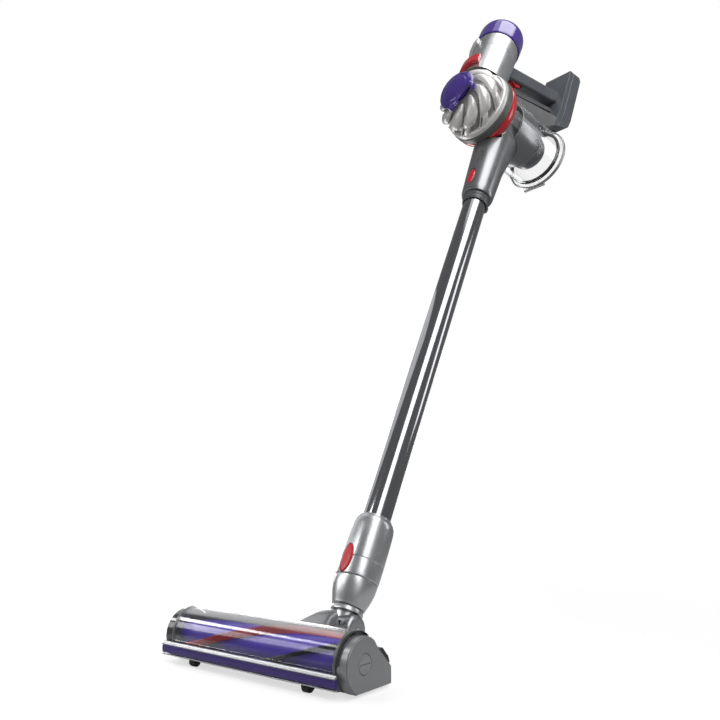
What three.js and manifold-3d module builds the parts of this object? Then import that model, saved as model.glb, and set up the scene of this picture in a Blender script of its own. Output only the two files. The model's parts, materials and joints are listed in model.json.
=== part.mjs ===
// Cordless stick vacuum: floor head, two-way neck, wand and handheld unit, each split into its real pieces.
// Millimetres, +Z up, +Y from the floor head back towards the user, +X to the user's right.
// The origin is on the floor, at the middle of the felt strip under the head.
import * as THREE from 'three';
import { mergeVertices } from 'three/addons/utils/BufferGeometryUtils.js';
import Module from 'manifold-3d';

const wasm = await Module();
wasm.setup();

// ---------------------------------------------------------------- driving dimensions
const GAP = 0.3; // clearance kept between pieces that touch
const HEAD_HALF = 112; // half the length of the brush tunnel
const CAP_LENGTH = 12.5; // thickness of each end cap
const BRUSH_Y = -26; // brush axis
const BRUSH_Z = 27;
const CORE_R = 18; // brush bar
const BRISTLE_R = 24.8;
const TUNNEL_R = 26;
const WINDOW_R = 28; // outside of the clear window
const HEAD_REAR = BRUSH_Y + 40; // back face of the head's body
const SOLE_Z = 3.5;
const ROLLER = { r: 4.6, y: BRUSH_Y - 23, half: 4.6, xs: { left: -80, right: 76 } };
const WHEEL = { r: 9, y: 76, x: [23.4, 30.6] };
const BUMPER_FACE = BRUSH_Y - 28.3; // y of the bumper's rear face
const BUMPER_X = [-HEAD_HALF - 11.5, HEAD_HALF + 3];
const LOCK_R = 9.2; // coin lock in the right end cap
const PIVOT = new THREE.Vector3(0, 92.3, 25); // where the neck pitches on the head
const LEAN = THREE.MathUtils.degToRad(29); // the wand leans back from upright
const TWIST = THREE.MathUtils.degToRad(9); // the wand is turned in its swivel
const DRUM_R = 16.6; // hinge drum of the neck, between two ears on the head
const DRUM_HALF = 13.4;
const EAR_R = 17.5;
const EAR_X = 22.5; // outer face of each ear
const CUFF_R = 25.8;
const CUFF_Z = [56, 134];
const TUBE_R = 17.6;
const TUBE_Z = [84, 714];
const DUCT_Z = 681; // lower end of the inlet duct, along the wand
const COLLAR_Z = [666, DUCT_Z - GAP]; // ring and catch on the wand, under the duct
// Extra depth behind the duct at each height, as a share of its own.
const DUCT_SWELL = [[745, 0], [800, 0.35], [838, 0.6], [856, 0.5], [880, 0.2], [901, 0]];
const CUFF_BUTTON_Z = 74;
const DUCT_BUTTON_Z = 709;
const BORE_FLOOR = -19; // bottom of each button's recess
const CYCLONE = { b: -54, l: 840.6, angle: 13.6 }; // axis of cyclones and bin: back, along the wand, degrees
const CYCLONE_R = 58;
const DOME_DROP = 0.1; // the dome leans down by this much of its depth
const BIN_R = 51.5;
const BIN_S = [31, 162.5]; // clear bin, along its axis
const HINGE_Y = BIN_R + 7.5; // hinge of the bin's base
const HINGE_S = BIN_S[1] + 2;
const MOTOR = { b: -62, l: 895, angle: 87 };
const MOTOR_R = 37;
const MOTOR_TOP = 92;
const GRIP = { b: -24, l: 966, angle: 31 };
const GRIP_HALF = [12, 13]; // half width, half height of the grip
const GRIP_CORNER = 5; // radius of its corners
const GRIP_WALL = 2.4;
const BASE_B = 105; // front of the battery block, behind the wand axis
const BATTERY_HALF = 27;

// ---------------------------------------------------------------- geometry tools
const V2 = (x, y) => new THREE.Vector2(x, y);
const degrees = THREE.MathUtils.degToRad;

function closedMesh(geometry) {
  const bare = geometry.clone();
  bare.deleteAttribute('normal');
  bare.deleteAttribute('uv');
  const merged = mergeVertices(bare, 1e-3);
  const old = merged.index.array;
  const p = merged.attributes.position.array;
  const kept = [];
  let volume = 0;
  for (let i = 0; i < old.length; i += 3) {
    const [a, b, c] = [old[i], old[i + 1], old[i + 2]];
    if (a === b || b === c || a === c) continue;
    kept.push(a, b, c);
    const [A, B, C] = [a, b, c].map((k) => new THREE.Vector3(p[3 * k], p[3 * k + 1], p[3 * k + 2]));
    volume += A.dot(B.cross(C));
  }
  if (volume < 0) {
    for (let i = 0; i < kept.length; i += 3) [kept[i], kept[i + 1]] = [kept[i + 1], kept[i]];
  }
  merged.setIndex(kept);
  return merged;
}

function solid(geometry, matrix) {
  const mesh = closedMesh(matrix ? geometry.clone().applyMatrix4(matrix) : geometry);
  return new wasm.Manifold(new wasm.Mesh({
    numProp: 3,
    vertProperties: new Float32Array(mesh.attributes.position.array),
    triVerts: new Uint32Array(mesh.index.array),
  }));
}

function geometryOf(manifold) {
  const mesh = manifold.getMesh();
  const geometry = new THREE.BufferGeometry();
  geometry.setAttribute('position', new THREE.BufferAttribute(mesh.vertProperties, 3));
  geometry.setIndex(new THREE.BufferAttribute(mesh.triVerts, 1));
  return geometry;
}

// A body of revolution about +Z from [radius, height] points; a ring closes on itself.
function revolve(points, segments = 26) {
  const offAxis = points[0][0] > 0 || points[points.length - 1][0] > 0;
  const loop = offAxis ? [...points, points[0]] : points;
  const geometry = new THREE.LatheGeometry(loop.map(([r, z]) => V2(r, z)), segments);
  return geometry.rotateX(Math.PI / 2);
}

function cylinder(r, z0, z1, segments = 20) {
  return revolve([[0, z0], [r, z0], [r, z1], [0, z1]], segments);
}

// A cylinder along +X.
function cylinderX(r, x0, x1, y, z, segments = 20) {
  return cylinder(r, x0, x1, segments).rotateY(Math.PI / 2).translate(0, y, z);
}

function box(x0, x1, y0, y1, z0, z1) {
  return new THREE.BoxGeometry(x1 - x0, y1 - y0, z1 - z0)
    .translate((x0 + x1) / 2, (y0 + y1) / 2, (z0 + z1) / 2);
}

// A side outline in (y, z) carried from x0 to x1.
function slab(outline, x0, x1) {
  const shape = new THREE.Shape(outline.map(([y, z]) => V2(y, z)));
  const geometry = new THREE.ExtrudeGeometry(shape, { depth: x1 - x0, bevelEnabled: false });
  const basis = new THREE.Matrix4().makeBasis(
    new THREE.Vector3(0, 1, 0), new THREE.Vector3(0, 0, 1), new THREE.Vector3(1, 0, 0));
  return geometry.applyMatrix4(basis).translate(x0, 0, 0);
}

// A plan outline in (x, y) carried from z0 to z1.
function plate(outline, z0, z1) {
  const shape = new THREE.Shape(outline.map(([x, y]) => V2(x, y)));
  return new THREE.ExtrudeGeometry(shape, { depth: z1 - z0, bevelEnabled: false }).translate(0, 0, z0);
}

function arc(cy, cz, r, from, to, steps) {
  return Array.from({ length: steps + 1 }, (_, i) => {
    const a = degrees(from + ((to - from) * i) / steps);
    return [cy + r * Math.cos(a), cz + r * Math.sin(a)];
  });
}

// Local frame in the handheld's middle plane: +Z along the given angle from straight back, +Y below it.
function axisFrame({ b, l, angle }) {
  return new THREE.Matrix4().makeTranslation(0, b, l)
    .multiply(new THREE.Matrix4().makeRotationX(-degrees(90 - angle)));
}

// ---------------------------------------------------------------- scene graph
const vacuum = new THREE.Group();
const upright = new THREE.Group(); // neck: +Z along the wand
upright.position.copy(PIVOT);
upright.rotation.x = -LEAN;
const turned = new THREE.Group(); // wand and handheld: +Z along the wand, +Y behind it
turned.rotation.z = -TWIST;
upright.add(turned);
vacuum.add(upright);

function finish(color, roughness, metalness, extra = {}) {
  return { color, roughness, metalness, ...extra };
}
const SILVER = finish(0x9a9b9e, 0.35, 0.6);
const DARK_SILVER = finish(0x5d5f63, 0.4, 0.6);
const CHARCOAL = finish(0x3d4145, 0.5, 0.2);
const BLACK = finish(0x141416, 0.6, 0);
const RED = finish(0xb3141c, 0.3, 0.1);
const PURPLE = finish(0x4a2aa0, 0.25, 0.1);
const NICKEL = finish(0x8b8d91, 0.12, 1);
const CLEAR = finish(0xf2f4f7, 0.05, 0, { transparent: true, opacity: 0.3 });

function piece(parent, name, shape, look) {
  const geometry = shape instanceof THREE.BufferGeometry ? closedMesh(shape) : geometryOf(shape);
  const mesh = new THREE.Mesh(geometry, new THREE.MeshStandardMaterial(look));
  mesh.name = name;
  parent.add(mesh);
  return mesh;
}

// ---------------------------------------------------------------- floor head
const headArc = (r, from, to, steps) => arc(BRUSH_Y, BRUSH_Z, r, from, to, steps);

function capOutline(inset) {
  const r = 25.6 - inset;
  return [
    ...arc(BRUSH_Y - 1, 26, r, 232, 50, 14),
    [BRUSH_Y + 22 - inset, 37 - inset], [BRUSH_Y + 41 - inset, 19 - inset],
    [BRUSH_Y + 41 - inset, SOLE_Z - 1 + inset], [BRUSH_Y - 12, SOLE_Z - 1 + inset],
  ];
}

function headChassis() {
  const rear = slab([
    ...headArc(TUNNEL_R, -60, 58, 14),
    ...headArc(WINDOW_R, 58, 54, 1),
    [BRUSH_Y + 23, 44], [BRUSH_Y + 36, 27], [HEAD_REAR, 19], [HEAD_REAR, SOLE_Z], [BRUSH_Y + 14, SOLE_Z],
  ], -HEAD_HALF, HEAD_HALF);
  const rail = slab([
    ...headArc(TUNNEL_R, 192, 230, 5), [BRUSH_Y - 17, 5], [BRUSH_Y - 28, 7], [BRUSH_Y - 28, 21.5],
  ], -HEAD_HALF, HEAD_HALF);
  const mouth = solid(cylinderX(BRISTLE_R + 0.6, -200, 200, BRUSH_Y, BRUSH_Z, 32));
  const rim = [
    ...headArc(WINDOW_R, 226, 52, 18), [BRUSH_Y + 23, 43], [BRUSH_Y + 35.5, 26.5], [HEAD_REAR - 0.5, 18.5],
    [HEAD_REAR - 0.5, SOLE_Z], [BRUSH_Y - 14, SOLE_Z],
  ];
  let body = solid(rear).add(solid(rail));
  for (const side of [-1, 1]) {
    const [x0, x1] = side < 0 ? [-HEAD_HALF, -HEAD_HALF + 3] : [HEAD_HALF - 3, HEAD_HALF];
    const ring = solid(slab(rim, x0, x1)).subtract(mouth);
    body = body.add(ring);
  }
  for (const x of Object.values(ROLLER.xs)) {
    const half = ROLLER.half + 0.8;
    body = body.subtract(solid(box(x - half, x + half, BRUSH_Y - 29, BRUSH_Y - 17.8, 0, 10)));
    body = body.subtract(solid(cylinderX(2, x - half - 3, x + half + 3, ROLLER.y, ROLLER.r, 10)));
  }
  const airway = solid(box(-14, 14, BRUSH_Y, HEAD_REAR + 1, 12, 26));
  const underTrim = solid(box(-100.4, 100.4, -6.4, 6.4, 0, SOLE_Z + 0.01));
  return body.subtract(airway).subtract(underTrim);
}

function brushWindow() {
  const outline = [...headArc(WINDOW_R, 58 + 0.6, 189, 18), ...headArc(TUNNEL_R + 0.5, 189, 58.6, 18)];
  return slab(outline, -HEAD_HALF + 3.4, HEAD_HALF - 3.4);
}

// One helical row of bristles standing on the brush bar.
function bristleRow(phase, width, tip) {
  const steps = 16;
  const reach = HEAD_HALF - 9;
  const turn = degrees(-170);
  const root = CORE_R + 2 * GAP; // clears the bar between the steps of the helix
  const positions = [];
  const index = [];
  for (let i = 0; i <= steps; i += 1) {
    const t = i / steps;
    const x = -reach + 2 * reach * t;
    const a = phase + turn * t;
    for (const [r, w] of [[root, -width], [root, width], [tip, width], [tip, -width]]) {
      const half = (w / 2) / CORE_R;
      positions.push(x, BRUSH_Y + r * Math.cos(a + half), BRUSH_Z + r * Math.sin(a + half));
    }
  }
  for (let i = 0; i < steps; i += 1) {
    for (let k = 0; k < 4; k += 1) {
      const [p, q] = [4 * i + k, 4 * i + ((k + 1) % 4)];
      index.push(p, q, q + 4, p, q + 4, p + 4);
    }
  }
  const last = 4 * steps;
  index.push(0, 2, 1, 0, 3, 2, last, last + 1, last + 2, last, last + 2, last + 3);
  const geometry = new THREE.BufferGeometry();
  geometry.setAttribute('position', new THREE.Float32BufferAttribute(positions, 3));
  geometry.setAttribute('normal', new THREE.Float32BufferAttribute(positions, 3));
  geometry.setAttribute('uv', new THREE.Float32BufferAttribute(positions, 3));
  geometry.setIndex(index);
  return geometry;
}

function endCap(side) {
  const [inner, outer] = [HEAD_HALF + GAP, HEAD_HALF + CAP_LENGTH];
  const span = (a, b) => (side > 0 ? [a, b] : [-b, -a]);
  const wide = solid(slab(capOutline(0), ...span(inner, outer - 1.2)));
  const nose = solid(slab(capOutline(0.9), ...span(inner, outer)));
  let cap = wide.add(nose);
  if (side > 0) {
    cap = cap.subtract(solid(cylinderX(8.4, HEAD_HALF, HEAD_HALF + 6, BRUSH_Y, BRUSH_Z, 16)));
    cap = cap.subtract(solid(cylinderX(LOCK_R + 0.4, HEAD_HALF + 8.5, outer + 1, BRUSH_Y, BRUSH_Z, 24)));
  } else {
    cap = cap.subtract(solid(cylinderX(9.4, -HEAD_HALF - 7, -HEAD_HALF, BRUSH_Y, BRUSH_Z, 16)));
  }
  return cap;
}

function neckBase() {
  const side = solid(slab([
    [HEAD_REAR + GAP, 6], [HEAD_REAR + GAP, 28], [30, 34], [46, 41], [60, 46], [72, 48.5], [80, 46],
    [PIVOT.y, 36], [PIVOT.y, 9], [WHEEL.y + 12, 6],
  ], -60, 60));
  const plan = solid(plate([
    [-46, HEAD_REAR], [46, HEAD_REAR], [35, 30], [EAR_X, 60], [EAR_X, PIVOT.y + 1],
    [-EAR_X, PIVOT.y + 1], [-EAR_X, 60], [-35, 30],
  ], 0, 60));
  const ears = revolve([
    [0, -EAR_X], [14.5, -EAR_X], [EAR_R, -EAR_X + 3.5], [EAR_R, EAR_X - 3.5], [14.5, EAR_X], [0, EAR_X],
  ], 28).rotateY(Math.PI / 2).translate(0, PIVOT.y, PIVOT.z);
  const flangeSweep = solid(cylinderX(31, -20, 20, PIVOT.y, PIVOT.z, 36))
    .subtract(solid(cylinderX(EAR_R + 0.1, -20, 20, PIVOT.y, PIVOT.z, 28)))
    .intersect(solid(box(-20, 20, 40, 140, 18, 80)));
  let body = side.intersect(plan).add(solid(ears)).subtract(flangeSweep);
  const fork = DRUM_HALF + 0.4;
  body = body.subtract(solid(cylinderX(EAR_R + 0.2, -fork, fork, PIVOT.y, PIVOT.z, 28)));
  body = body.subtract(solid(cylinderX(4.4, -60, 60, PIVOT.y, PIVOT.z, 16)));
  body = body.subtract(solid(box(-12, 12, HEAD_REAR - 1, PIVOT.y - 8, 12, 26)));
  return body.subtract(solid(cylinderX(2.4, -60, 60, WHEEL.y, WHEEL.r, 12)));
}

function roller(x) {
  const { r, y, half } = ROLLER;
  const drum = revolve([
    [0, -half - 2.6], [1.7, -half - 2.6], [1.7, -half], [r - 0.8, -half], [r, -half + 0.8],
    [r, half - 0.8], [r - 0.8, half], [1.7, half], [1.7, half + 2.6], [0, half + 2.6],
  ], 16);
  return drum.rotateY(Math.PI / 2).translate(x, y, r);
}

function wheel(side) {
  const [x0, x1] = WHEEL.x;
  const tyre = revolve([
    [2.3, x0], [WHEEL.r - 1, x0], [WHEEL.r, x0 + 1], [WHEEL.r, x1 - 1], [WHEEL.r - 1, x1], [2.3, x1],
  ], 20);
  return tyre.rotateY((side * Math.PI) / 2).translate(0, WHEEL.y, WHEEL.r);
}

piece(vacuum, 'head_chassis', headChassis(), CHARCOAL);
piece(vacuum, 'brush_window', brushWindow(), CLEAR);
piece(vacuum, 'end_cap_right', endCap(1), SILVER);
piece(vacuum, 'end_cap_left', endCap(-1), DARK_SILVER);
piece(vacuum, 'end_cap_seal', slab([
  ...headArc(WINDOW_R, 176, 50, 14), ...headArc(WINDOW_R - 0.9, 50, 176, 14),
], HEAD_HALF + GAP, HEAD_HALF + 3), BLACK);
piece(vacuum, 'coin_lock', solid(
  cylinderX(LOCK_R, HEAD_HALF + 8.8, HEAD_HALF + CAP_LENGTH, BRUSH_Y, BRUSH_Z, 24),
).subtract(solid(box(HEAD_HALF + 11.4, 140, BRUSH_Y - 7.6, BRUSH_Y + 7.6, BRUSH_Z - 0.6, BRUSH_Z + 0.6))),
SILVER);
piece(vacuum, 'brush_bearing', revolve([
  [4.4, HEAD_HALF - 1], [8, HEAD_HALF - 1], [8, HEAD_HALF + 5.6], [4.4, HEAD_HALF + 5.6],
], 20).rotateY(Math.PI / 2).translate(0, BRUSH_Y, BRUSH_Z), NICKEL);
piece(vacuum, 'brush_core', revolve([
  [13.2, -HEAD_HALF + 5], [CORE_R, -HEAD_HALF + 5], [CORE_R, HEAD_HALF - 5], [4.1, HEAD_HALF - 5],
  [4.1, HEAD_HALF + 4], [1.5, HEAD_HALF + 5], [1.5, -14], [13.2, -14],
], 28).rotateY(Math.PI / 2).translate(0, BRUSH_Y, BRUSH_Z), PURPLE);
piece(vacuum, 'brush_motor', revolve([
  [0, -HEAD_HALF - 6.5], [9, -HEAD_HALF - 6.5], [9, -HEAD_HALF + 3], [12.4, -HEAD_HALF + 4],
  [12.4, -22], [3, -22], [3, -17], [0, -17],
], 20).rotateY(Math.PI / 2).translate(0, BRUSH_Y, BRUSH_Z), NICKEL);
for (const n of [0, 1]) {
  piece(vacuum, `bristle_red_${n + 1}`, bristleRow(degrees(213 + 180 * n), 6, BRISTLE_R - 0.6), RED);
  piece(vacuum, `bristle_black_${n + 1}`, bristleRow(degrees(123 + 180 * n), 3, BRISTLE_R), BLACK);
}
piece(vacuum, 'bumper', slab([
  [BUMPER_FACE, 9.6], [BUMPER_FACE, 18], [BUMPER_FACE - 2.9, 17.4], [BUMPER_FACE - 2.9, 10.2],
], ...BUMPER_X), PURPLE);
piece(vacuum, 'bumper_trim_top', slab([
  [BUMPER_FACE, 18.3], [BUMPER_FACE, 21.6], [BUMPER_FACE - 2, 21.2], [BUMPER_FACE - 3.6, 19],
  [BUMPER_FACE - 3.6, 18.3],
], ...BUMPER_X), SILVER);
piece(vacuum, 'bumper_trim_bottom', slab([
  [BUMPER_FACE, 8], [BUMPER_FACE, 9.3], [BUMPER_FACE - 3.4, 9.3], [BUMPER_FACE - 2.6, 8],
], ...BUMPER_X), SILVER);
piece(vacuum, 'felt_strip', box(-100, 100, -6, 6, 0, SOLE_Z - GAP), BLACK);
for (const [name, x] of Object.entries(ROLLER.xs)) {
  piece(vacuum, `front_roller_${name}`, roller(x), BLACK);
}
piece(vacuum, 'neck_base', neckBase(), DARK_SILVER);
piece(vacuum, 'rear_axle', cylinderX(2, -32, 32, WHEEL.y, WHEEL.r, 12), NICKEL);
piece(vacuum, 'rear_wheel_left', wheel(-1), BLACK);
piece(vacuum, 'rear_wheel_right', wheel(1), BLACK);
piece(vacuum, 'cap_clip', slab([
  [BRUSH_Y + 24, 36], [BRUSH_Y + 31, 36.2], [BRUSH_Y + 40, 27], [BRUSH_Y + 42.6, 20.5], [BRUSH_Y + 36, 24.3],
], HEAD_HALF + 1, HEAD_HALF + CAP_LENGTH - 3), BLACK);

// ---------------------------------------------------------------- neck
function neckElbow() {
  const drum = solid(cylinderX(DRUM_R, -DRUM_HALF, DRUM_HALF, 0, 0, 28));
  const riser = solid(revolve([
    [0, 0], [13.2, 0], [13.2, 17.9], [19, 18.3], [19.2, 20], [17.6, 24], [0, 24],
  ], 26));
  const airway = solid(revolve([
    [0, -DRUM_R + 4], [9, -DRUM_R + 4], [9.6, 14.6], [12, 18.3], [12, 30], [0, 30],
  ], 16));
  const throat = solid(box(-9, 9, -40, 0, -7, 5));
  let body = drum.add(riser).subtract(airway).subtract(throat);
  for (const x of [[-40, -10.4], [10.4, 40]]) {
    body = body.subtract(solid(cylinderX(4.4, ...x, 0, 0, 16)));
  }
  return body;
}

piece(upright, 'neck_elbow', neckElbow(), SILVER);
const pinEnd = EAR_X + 0.4;
piece(upright, 'hinge_pin_left', cylinderX(4, -pinEnd, -10.8, 0, 0, 16), NICKEL);
piece(upright, 'hinge_pin_right', cylinderX(4, 10.8, pinEnd, 0, 0, 16), NICKEL);
piece(turned, 'neck_tube', revolve([
  [11.6, 18.8], [11.6, 24.4], [19.4, 24.4], [20, 27], [23.2, 37], [25.2, 48], [25.5, 55.6], [17.6, 55.6],
  [17.6, 80], [14.6, 80], [14.6, 30], [9.8, 26], [9.8, 18.8],
], 26), SILVER);

// ---------------------------------------------------------------- wand

// An upright oval prism in front of the wand, along -Y.
function ovalPrism(halfX, halfZ, y0, y1, z) {
  const shape = new THREE.Shape();
  shape.absellipse(0, 0, halfX, halfZ, 0, 2 * Math.PI);
  const settings = { depth: y1 - y0, bevelEnabled: false, curveSegments: 7 };
  const geometry = new THREE.ExtrudeGeometry(shape, settings);
  return solid(geometry.rotateX(Math.PI / 2).translate(0, y1, z));
}

function pressButton(halfX, halfZ, z, rOuter, rInner) {
  const shell = solid(revolve([
    [rInner, z - halfZ - 5], [rOuter, z - halfZ - 5], [rOuter, z + halfZ + 5], [rInner, z + halfZ + 5],
  ], 32));
  return ovalPrism(halfX, halfZ, -rOuter - 5, 0, z).intersect(shell);
}

const cuffBody = revolve([
  [CUFF_R - 1, CUFF_Z[0]], [CUFF_R, CUFF_Z[0] + 1.5], [CUFF_R + 0.4, 78], [CUFF_R + 0.3, 106],
  [CUFF_R - 0.2, 121], [CUFF_R - 1.4, 127], [21.6, 131.6], [20, 132], [19.6, CUFF_Z[1]], [18, CUFF_Z[1]],
  [18, CUFF_Z[0]],
], 30);
const cuffRecess = ovalPrism(9, 17.9, -40, BORE_FLOOR, CUFF_BUTTON_Z);
piece(turned, 'wand_cuff', solid(cuffBody).subtract(cuffRecess), SILVER);
piece(turned, 'cuff_button', pressButton(8.6, 17.5, CUFF_BUTTON_Z, CUFF_R + 1, CUFF_R - 2), RED);
piece(turned, 'wand_tube', revolve([
  [TUBE_R - 1.2, TUBE_Z[0]], [TUBE_R, TUBE_Z[0]], [TUBE_R, TUBE_Z[1]], [TUBE_R - 1.2, TUBE_Z[1]],
], 30), NICKEL);
piece(turned, 'wand_top_collar', solid(revolve([
  [18, COLLAR_Z[0]], [19.6, COLLAR_Z[0]], [20.6, COLLAR_Z[0] + 4], [20.6, COLLAR_Z[1]], [18, COLLAR_Z[1]],
], 32)).add(solid(box(-7, 7, 19, 24, COLLAR_Z[0] + 2, COLLAR_Z[1] - 1))), CHARCOAL);

// ---------------------------------------------------------------- handheld: inlet, cyclones and bin
const cycloneFrame = axisFrame(CYCLONE);
const inCyclone = (geometry) => geometry.clone().applyMatrix4(cycloneFrame);
const cycloneZone = solid(cylinder(CYCLONE_R + 0.5, -90, BIN_S[0] - 0.2, 40), cycloneFrame);

// The duct is round below and swells backwards under the bin.
function swellAt(z) {
  if (z <= DUCT_SWELL[0][0]) return 0;
  for (let i = 1; i < DUCT_SWELL.length; i += 1) {
    const [[z0, k0], [z1, k1]] = [DUCT_SWELL[i - 1], DUCT_SWELL[i]];
    if (z <= z1) return k0 + ((k1 - k0) * (z - z0)) / (z1 - z0);
  }
  return 0;
}

function ductBody(grow) {
  const geometry = revolve([
    [0, DUCT_Z], [23.4 + grow, DUCT_Z], [25 + grow, DUCT_Z + 5], [27.2 + grow, 730], [28.4 + grow, 762],
    [30 + grow, 800], [31 + grow, 838], [30.8 + grow, 856], [29.6 + grow, 878], [26 + grow, 890],
    [15 + grow, 899 + grow], [0, 901 + grow],
  ], 26);
  const p = geometry.attributes.position;
  for (let i = 0; i < p.count; i += 1) {
    if (p.getY(i) > 0) p.setY(i, p.getY(i) * (1 + swellAt(p.getZ(i))));
  }
  return solid(geometry);
}

function inletDuct() {
  const bore = solid(revolve([[0, 670], [18.1, 670], [18.1, 716], [17.4, 717], [19, 838], [0, 838]], 24));
  const port = solid(box(-13, 13, -60, 0, 806, 836)); // where the air turns into the cyclones
  const mouth = ovalPrism(7.4, 15.9, -60, BORE_FLOOR, DUCT_BUTTON_Z);
  return ductBody(0).subtract(bore).subtract(port).subtract(cycloneZone).subtract(mouth);
}

// One swirling fin over the cyclone cones.
function finBlade(k, count) {
  const start = (2 * Math.PI * k) / count;
  const spine = [
    [23, -51.6, 0], [34, -50.4, 0.25], [45, -45, 0.5], [52, -35.5, 0.72], [54.4, -22, 0.9], [54.8, -12, 1],
  ].map(([r, z, t]) => new THREE.Vector3(r * Math.cos(start + t), r * Math.sin(start + t), z));
  const section = new THREE.Shape([V2(-2, -2.2), V2(2, -2.2), V2(2, 2.2), V2(-2, 2.2)]);
  return new THREE.ExtrudeGeometry(section, {
    steps: 5, bevelEnabled: false, extrudePath: new THREE.CatmullRomCurve3(spine),
  });
}

function cycloneBody() {
  const bell = [
    [20, -54], [26, -53], [40, -49], [49, -41], [53, -31], [54.5, -20], [54.5, 0],
    [42, 0], [38, -28], [20, -40],
  ];
  let body = solid(revolve(bell, 28));
  const count = 10;
  for (let k = 0; k < count; k += 1) body = body.add(solid(finBlade(k, count)));
  body = body.transform([1, 0, 0, 0, 0, 1, 0, 0, 0, -DOME_DROP, 1, 0, 0, 0, 0, 1]);
  const rim = solid(revolve([[48, -8], [57.2, -8], [57.2, 0], [48, 0]], 30));
  const clear = solid(cylinder(19.6, -90, 10, 24));
  return body.add(rim).subtract(clear);
}

// A stem down the middle of the cyclones under a domed grip plate with one scooped side.
function preFilter() {
  const plateBody = solid(revolve([
    [0, -68], [16, -67], [28, -62.4], [33.4, -58], [32.6, -56.6], [0, -56.6],
  ], 32).translate(0, 4, 0));
  const scoop = solid(cylinder(24, -90, -50, 32).translate(29, 33, 0));
  return plateBody.subtract(scoop).add(solid(cylinder(17, -60, -2, 28)));
}

const cycloneParts = new THREE.Group();
cycloneFrame.decompose(cycloneParts.position, cycloneParts.quaternion, cycloneParts.scale);
turned.add(cycloneParts);

piece(turned, 'inlet_duct', inletDuct(), DARK_SILVER);
piece(turned, 'duct_button', pressButton(7, 15.5, DUCT_BUTTON_Z, 27.6, 23), RED);
piece(cycloneParts, 'cyclone_body', cycloneBody(), SILVER);
piece(cycloneParts, 'pre_filter', preFilter(), PURPLE);
piece(cycloneParts, 'cyclone_ring', revolve([
  [46, GAP], [CYCLONE_R - 1, GAP], [CYCLONE_R, 2], [CYCLONE_R, 12.6], [CYCLONE_R - 1, 14], [46, 14],
], 32), CHARCOAL);
const carriage = solid(revolve([
  [46, 14.3], [57, 14.3], [57.6, 17], [56, 26], [53, 30.6], [46, 30.6],
], 32), cycloneFrame);
piece(turned, 'bin_carriage', carriage.subtract(ductBody(0.4)), RED);

function ductBehind() {
  return ductBody(0.4).transform(new THREE.Matrix4().copy(cycloneFrame).invert().toArray());
}

function clearBin() {
  const wall = solid(revolve([
    [BIN_R - 2, BIN_S[0]], [BIN_R, BIN_S[0]], [BIN_R, BIN_S[1]], [BIN_R - 2, BIN_S[1]],
  ], 32));
  let bin = wall;
  for (const x of [[-19, -11], [11, 19]]) {
    bin = bin.add(solid(box(...x, BIN_R - 1.4, HINGE_Y + 3, HINGE_S - 12, BIN_S[1])));
    bin = bin.add(solid(box(...x, BIN_R + 4.4, HINGE_Y + 3, BIN_S[1] - 1, HINGE_S + 3)));
  }
  bin = bin.subtract(solid(cylinderX(2.3, -30, 30, HINGE_Y, HINGE_S, 12)));
  return bin.subtract(ductBehind());
}

function binBase() {
  const s = BIN_S[1] + 0.4;
  const disc = solid(revolve([
    [0, s + 3.4], [BIN_R - 10, s + 3.4], [BIN_R - 6, s], [BIN_R + 3, s], [BIN_R + 3.8, s + 2],
    [BIN_R + 3.8, s + 6], [BIN_R + 1.6, s + 8], [BIN_R - 5, s + 8], [BIN_R - 8, s + 6], [0, s + 6],
  ], 32));
  const knuckle = solid(box(-10.4, 10.4, BIN_R - 2, HINGE_Y + 3, s + 0.4, s + 5.6));
  const barrel = solid(cylinderX(3.6, -10.4, 10.4, HINGE_Y, HINGE_S, 16));
  return disc.add(knuckle).add(barrel).subtract(solid(cylinderX(2.3, -30, 30, HINGE_Y, HINGE_S, 12)));
}

piece(cycloneParts, 'bin', clearBin(), CLEAR);
piece(cycloneParts, 'bin_base', binBase(), CLEAR);
piece(cycloneParts, 'bin_seal', revolve([
  [BIN_R - 6.6, BIN_S[1] - 5], [BIN_R - 2.4, BIN_S[1] - 5], [BIN_R - 2.4, BIN_S[1] - 0.2],
  [BIN_R - 6.6, BIN_S[1] - 0.2],
], 32), BLACK);
piece(cycloneParts, 'bin_hinge_pin', cylinderX(2, -20, 20, HINGE_Y, HINGE_S, 12), NICKEL);
piece(cycloneParts, 'bin_latch', slab([
  [-BIN_R - 0.6, BIN_S[1] - 16], [-BIN_R - 5, BIN_S[1] - 14], [-BIN_R - 7.2, BIN_S[1] + 8.6],
  [-BIN_R - 4.4, BIN_S[1] + 8.6], [-BIN_R - 4.4, BIN_S[1] - 2], [-BIN_R - 0.6, BIN_S[1] - 3],
], -8, 8), CHARCOAL);
piece(cycloneParts, 'shroud', solid(revolve([
  [43.4, 60], [45.4, 60], [45.4, 100], [43, 116], [38, 123], [33, 126], [31.5, 139], [28, 149.5],
  [20, 155.5], [0, 158], [0, 155.6], [18, 153.4], [26, 147.6], [29.2, 138], [30.8, 124.6], [36.8, 121],
  [41, 115], [43.4, 99],
], 28)).subtract(ductBehind()), CHARCOAL);

// ---------------------------------------------------------------- handheld: motor
const motorParts = new THREE.Group();
const motorFrame = axisFrame(MOTOR);
motorFrame.decompose(motorParts.position, motorParts.quaternion, motorParts.scale);
turned.add(motorParts);
const toMotor = new THREE.Matrix4().copy(motorFrame).invert();
const binZone = solid(cylinder(BIN_R + 0.6, BIN_S[0] - 2, BIN_S[1] + 20, 40), cycloneFrame);
const cycloneInMotor = cycloneZone.add(binZone).transform(toMotor.toArray());

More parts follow.
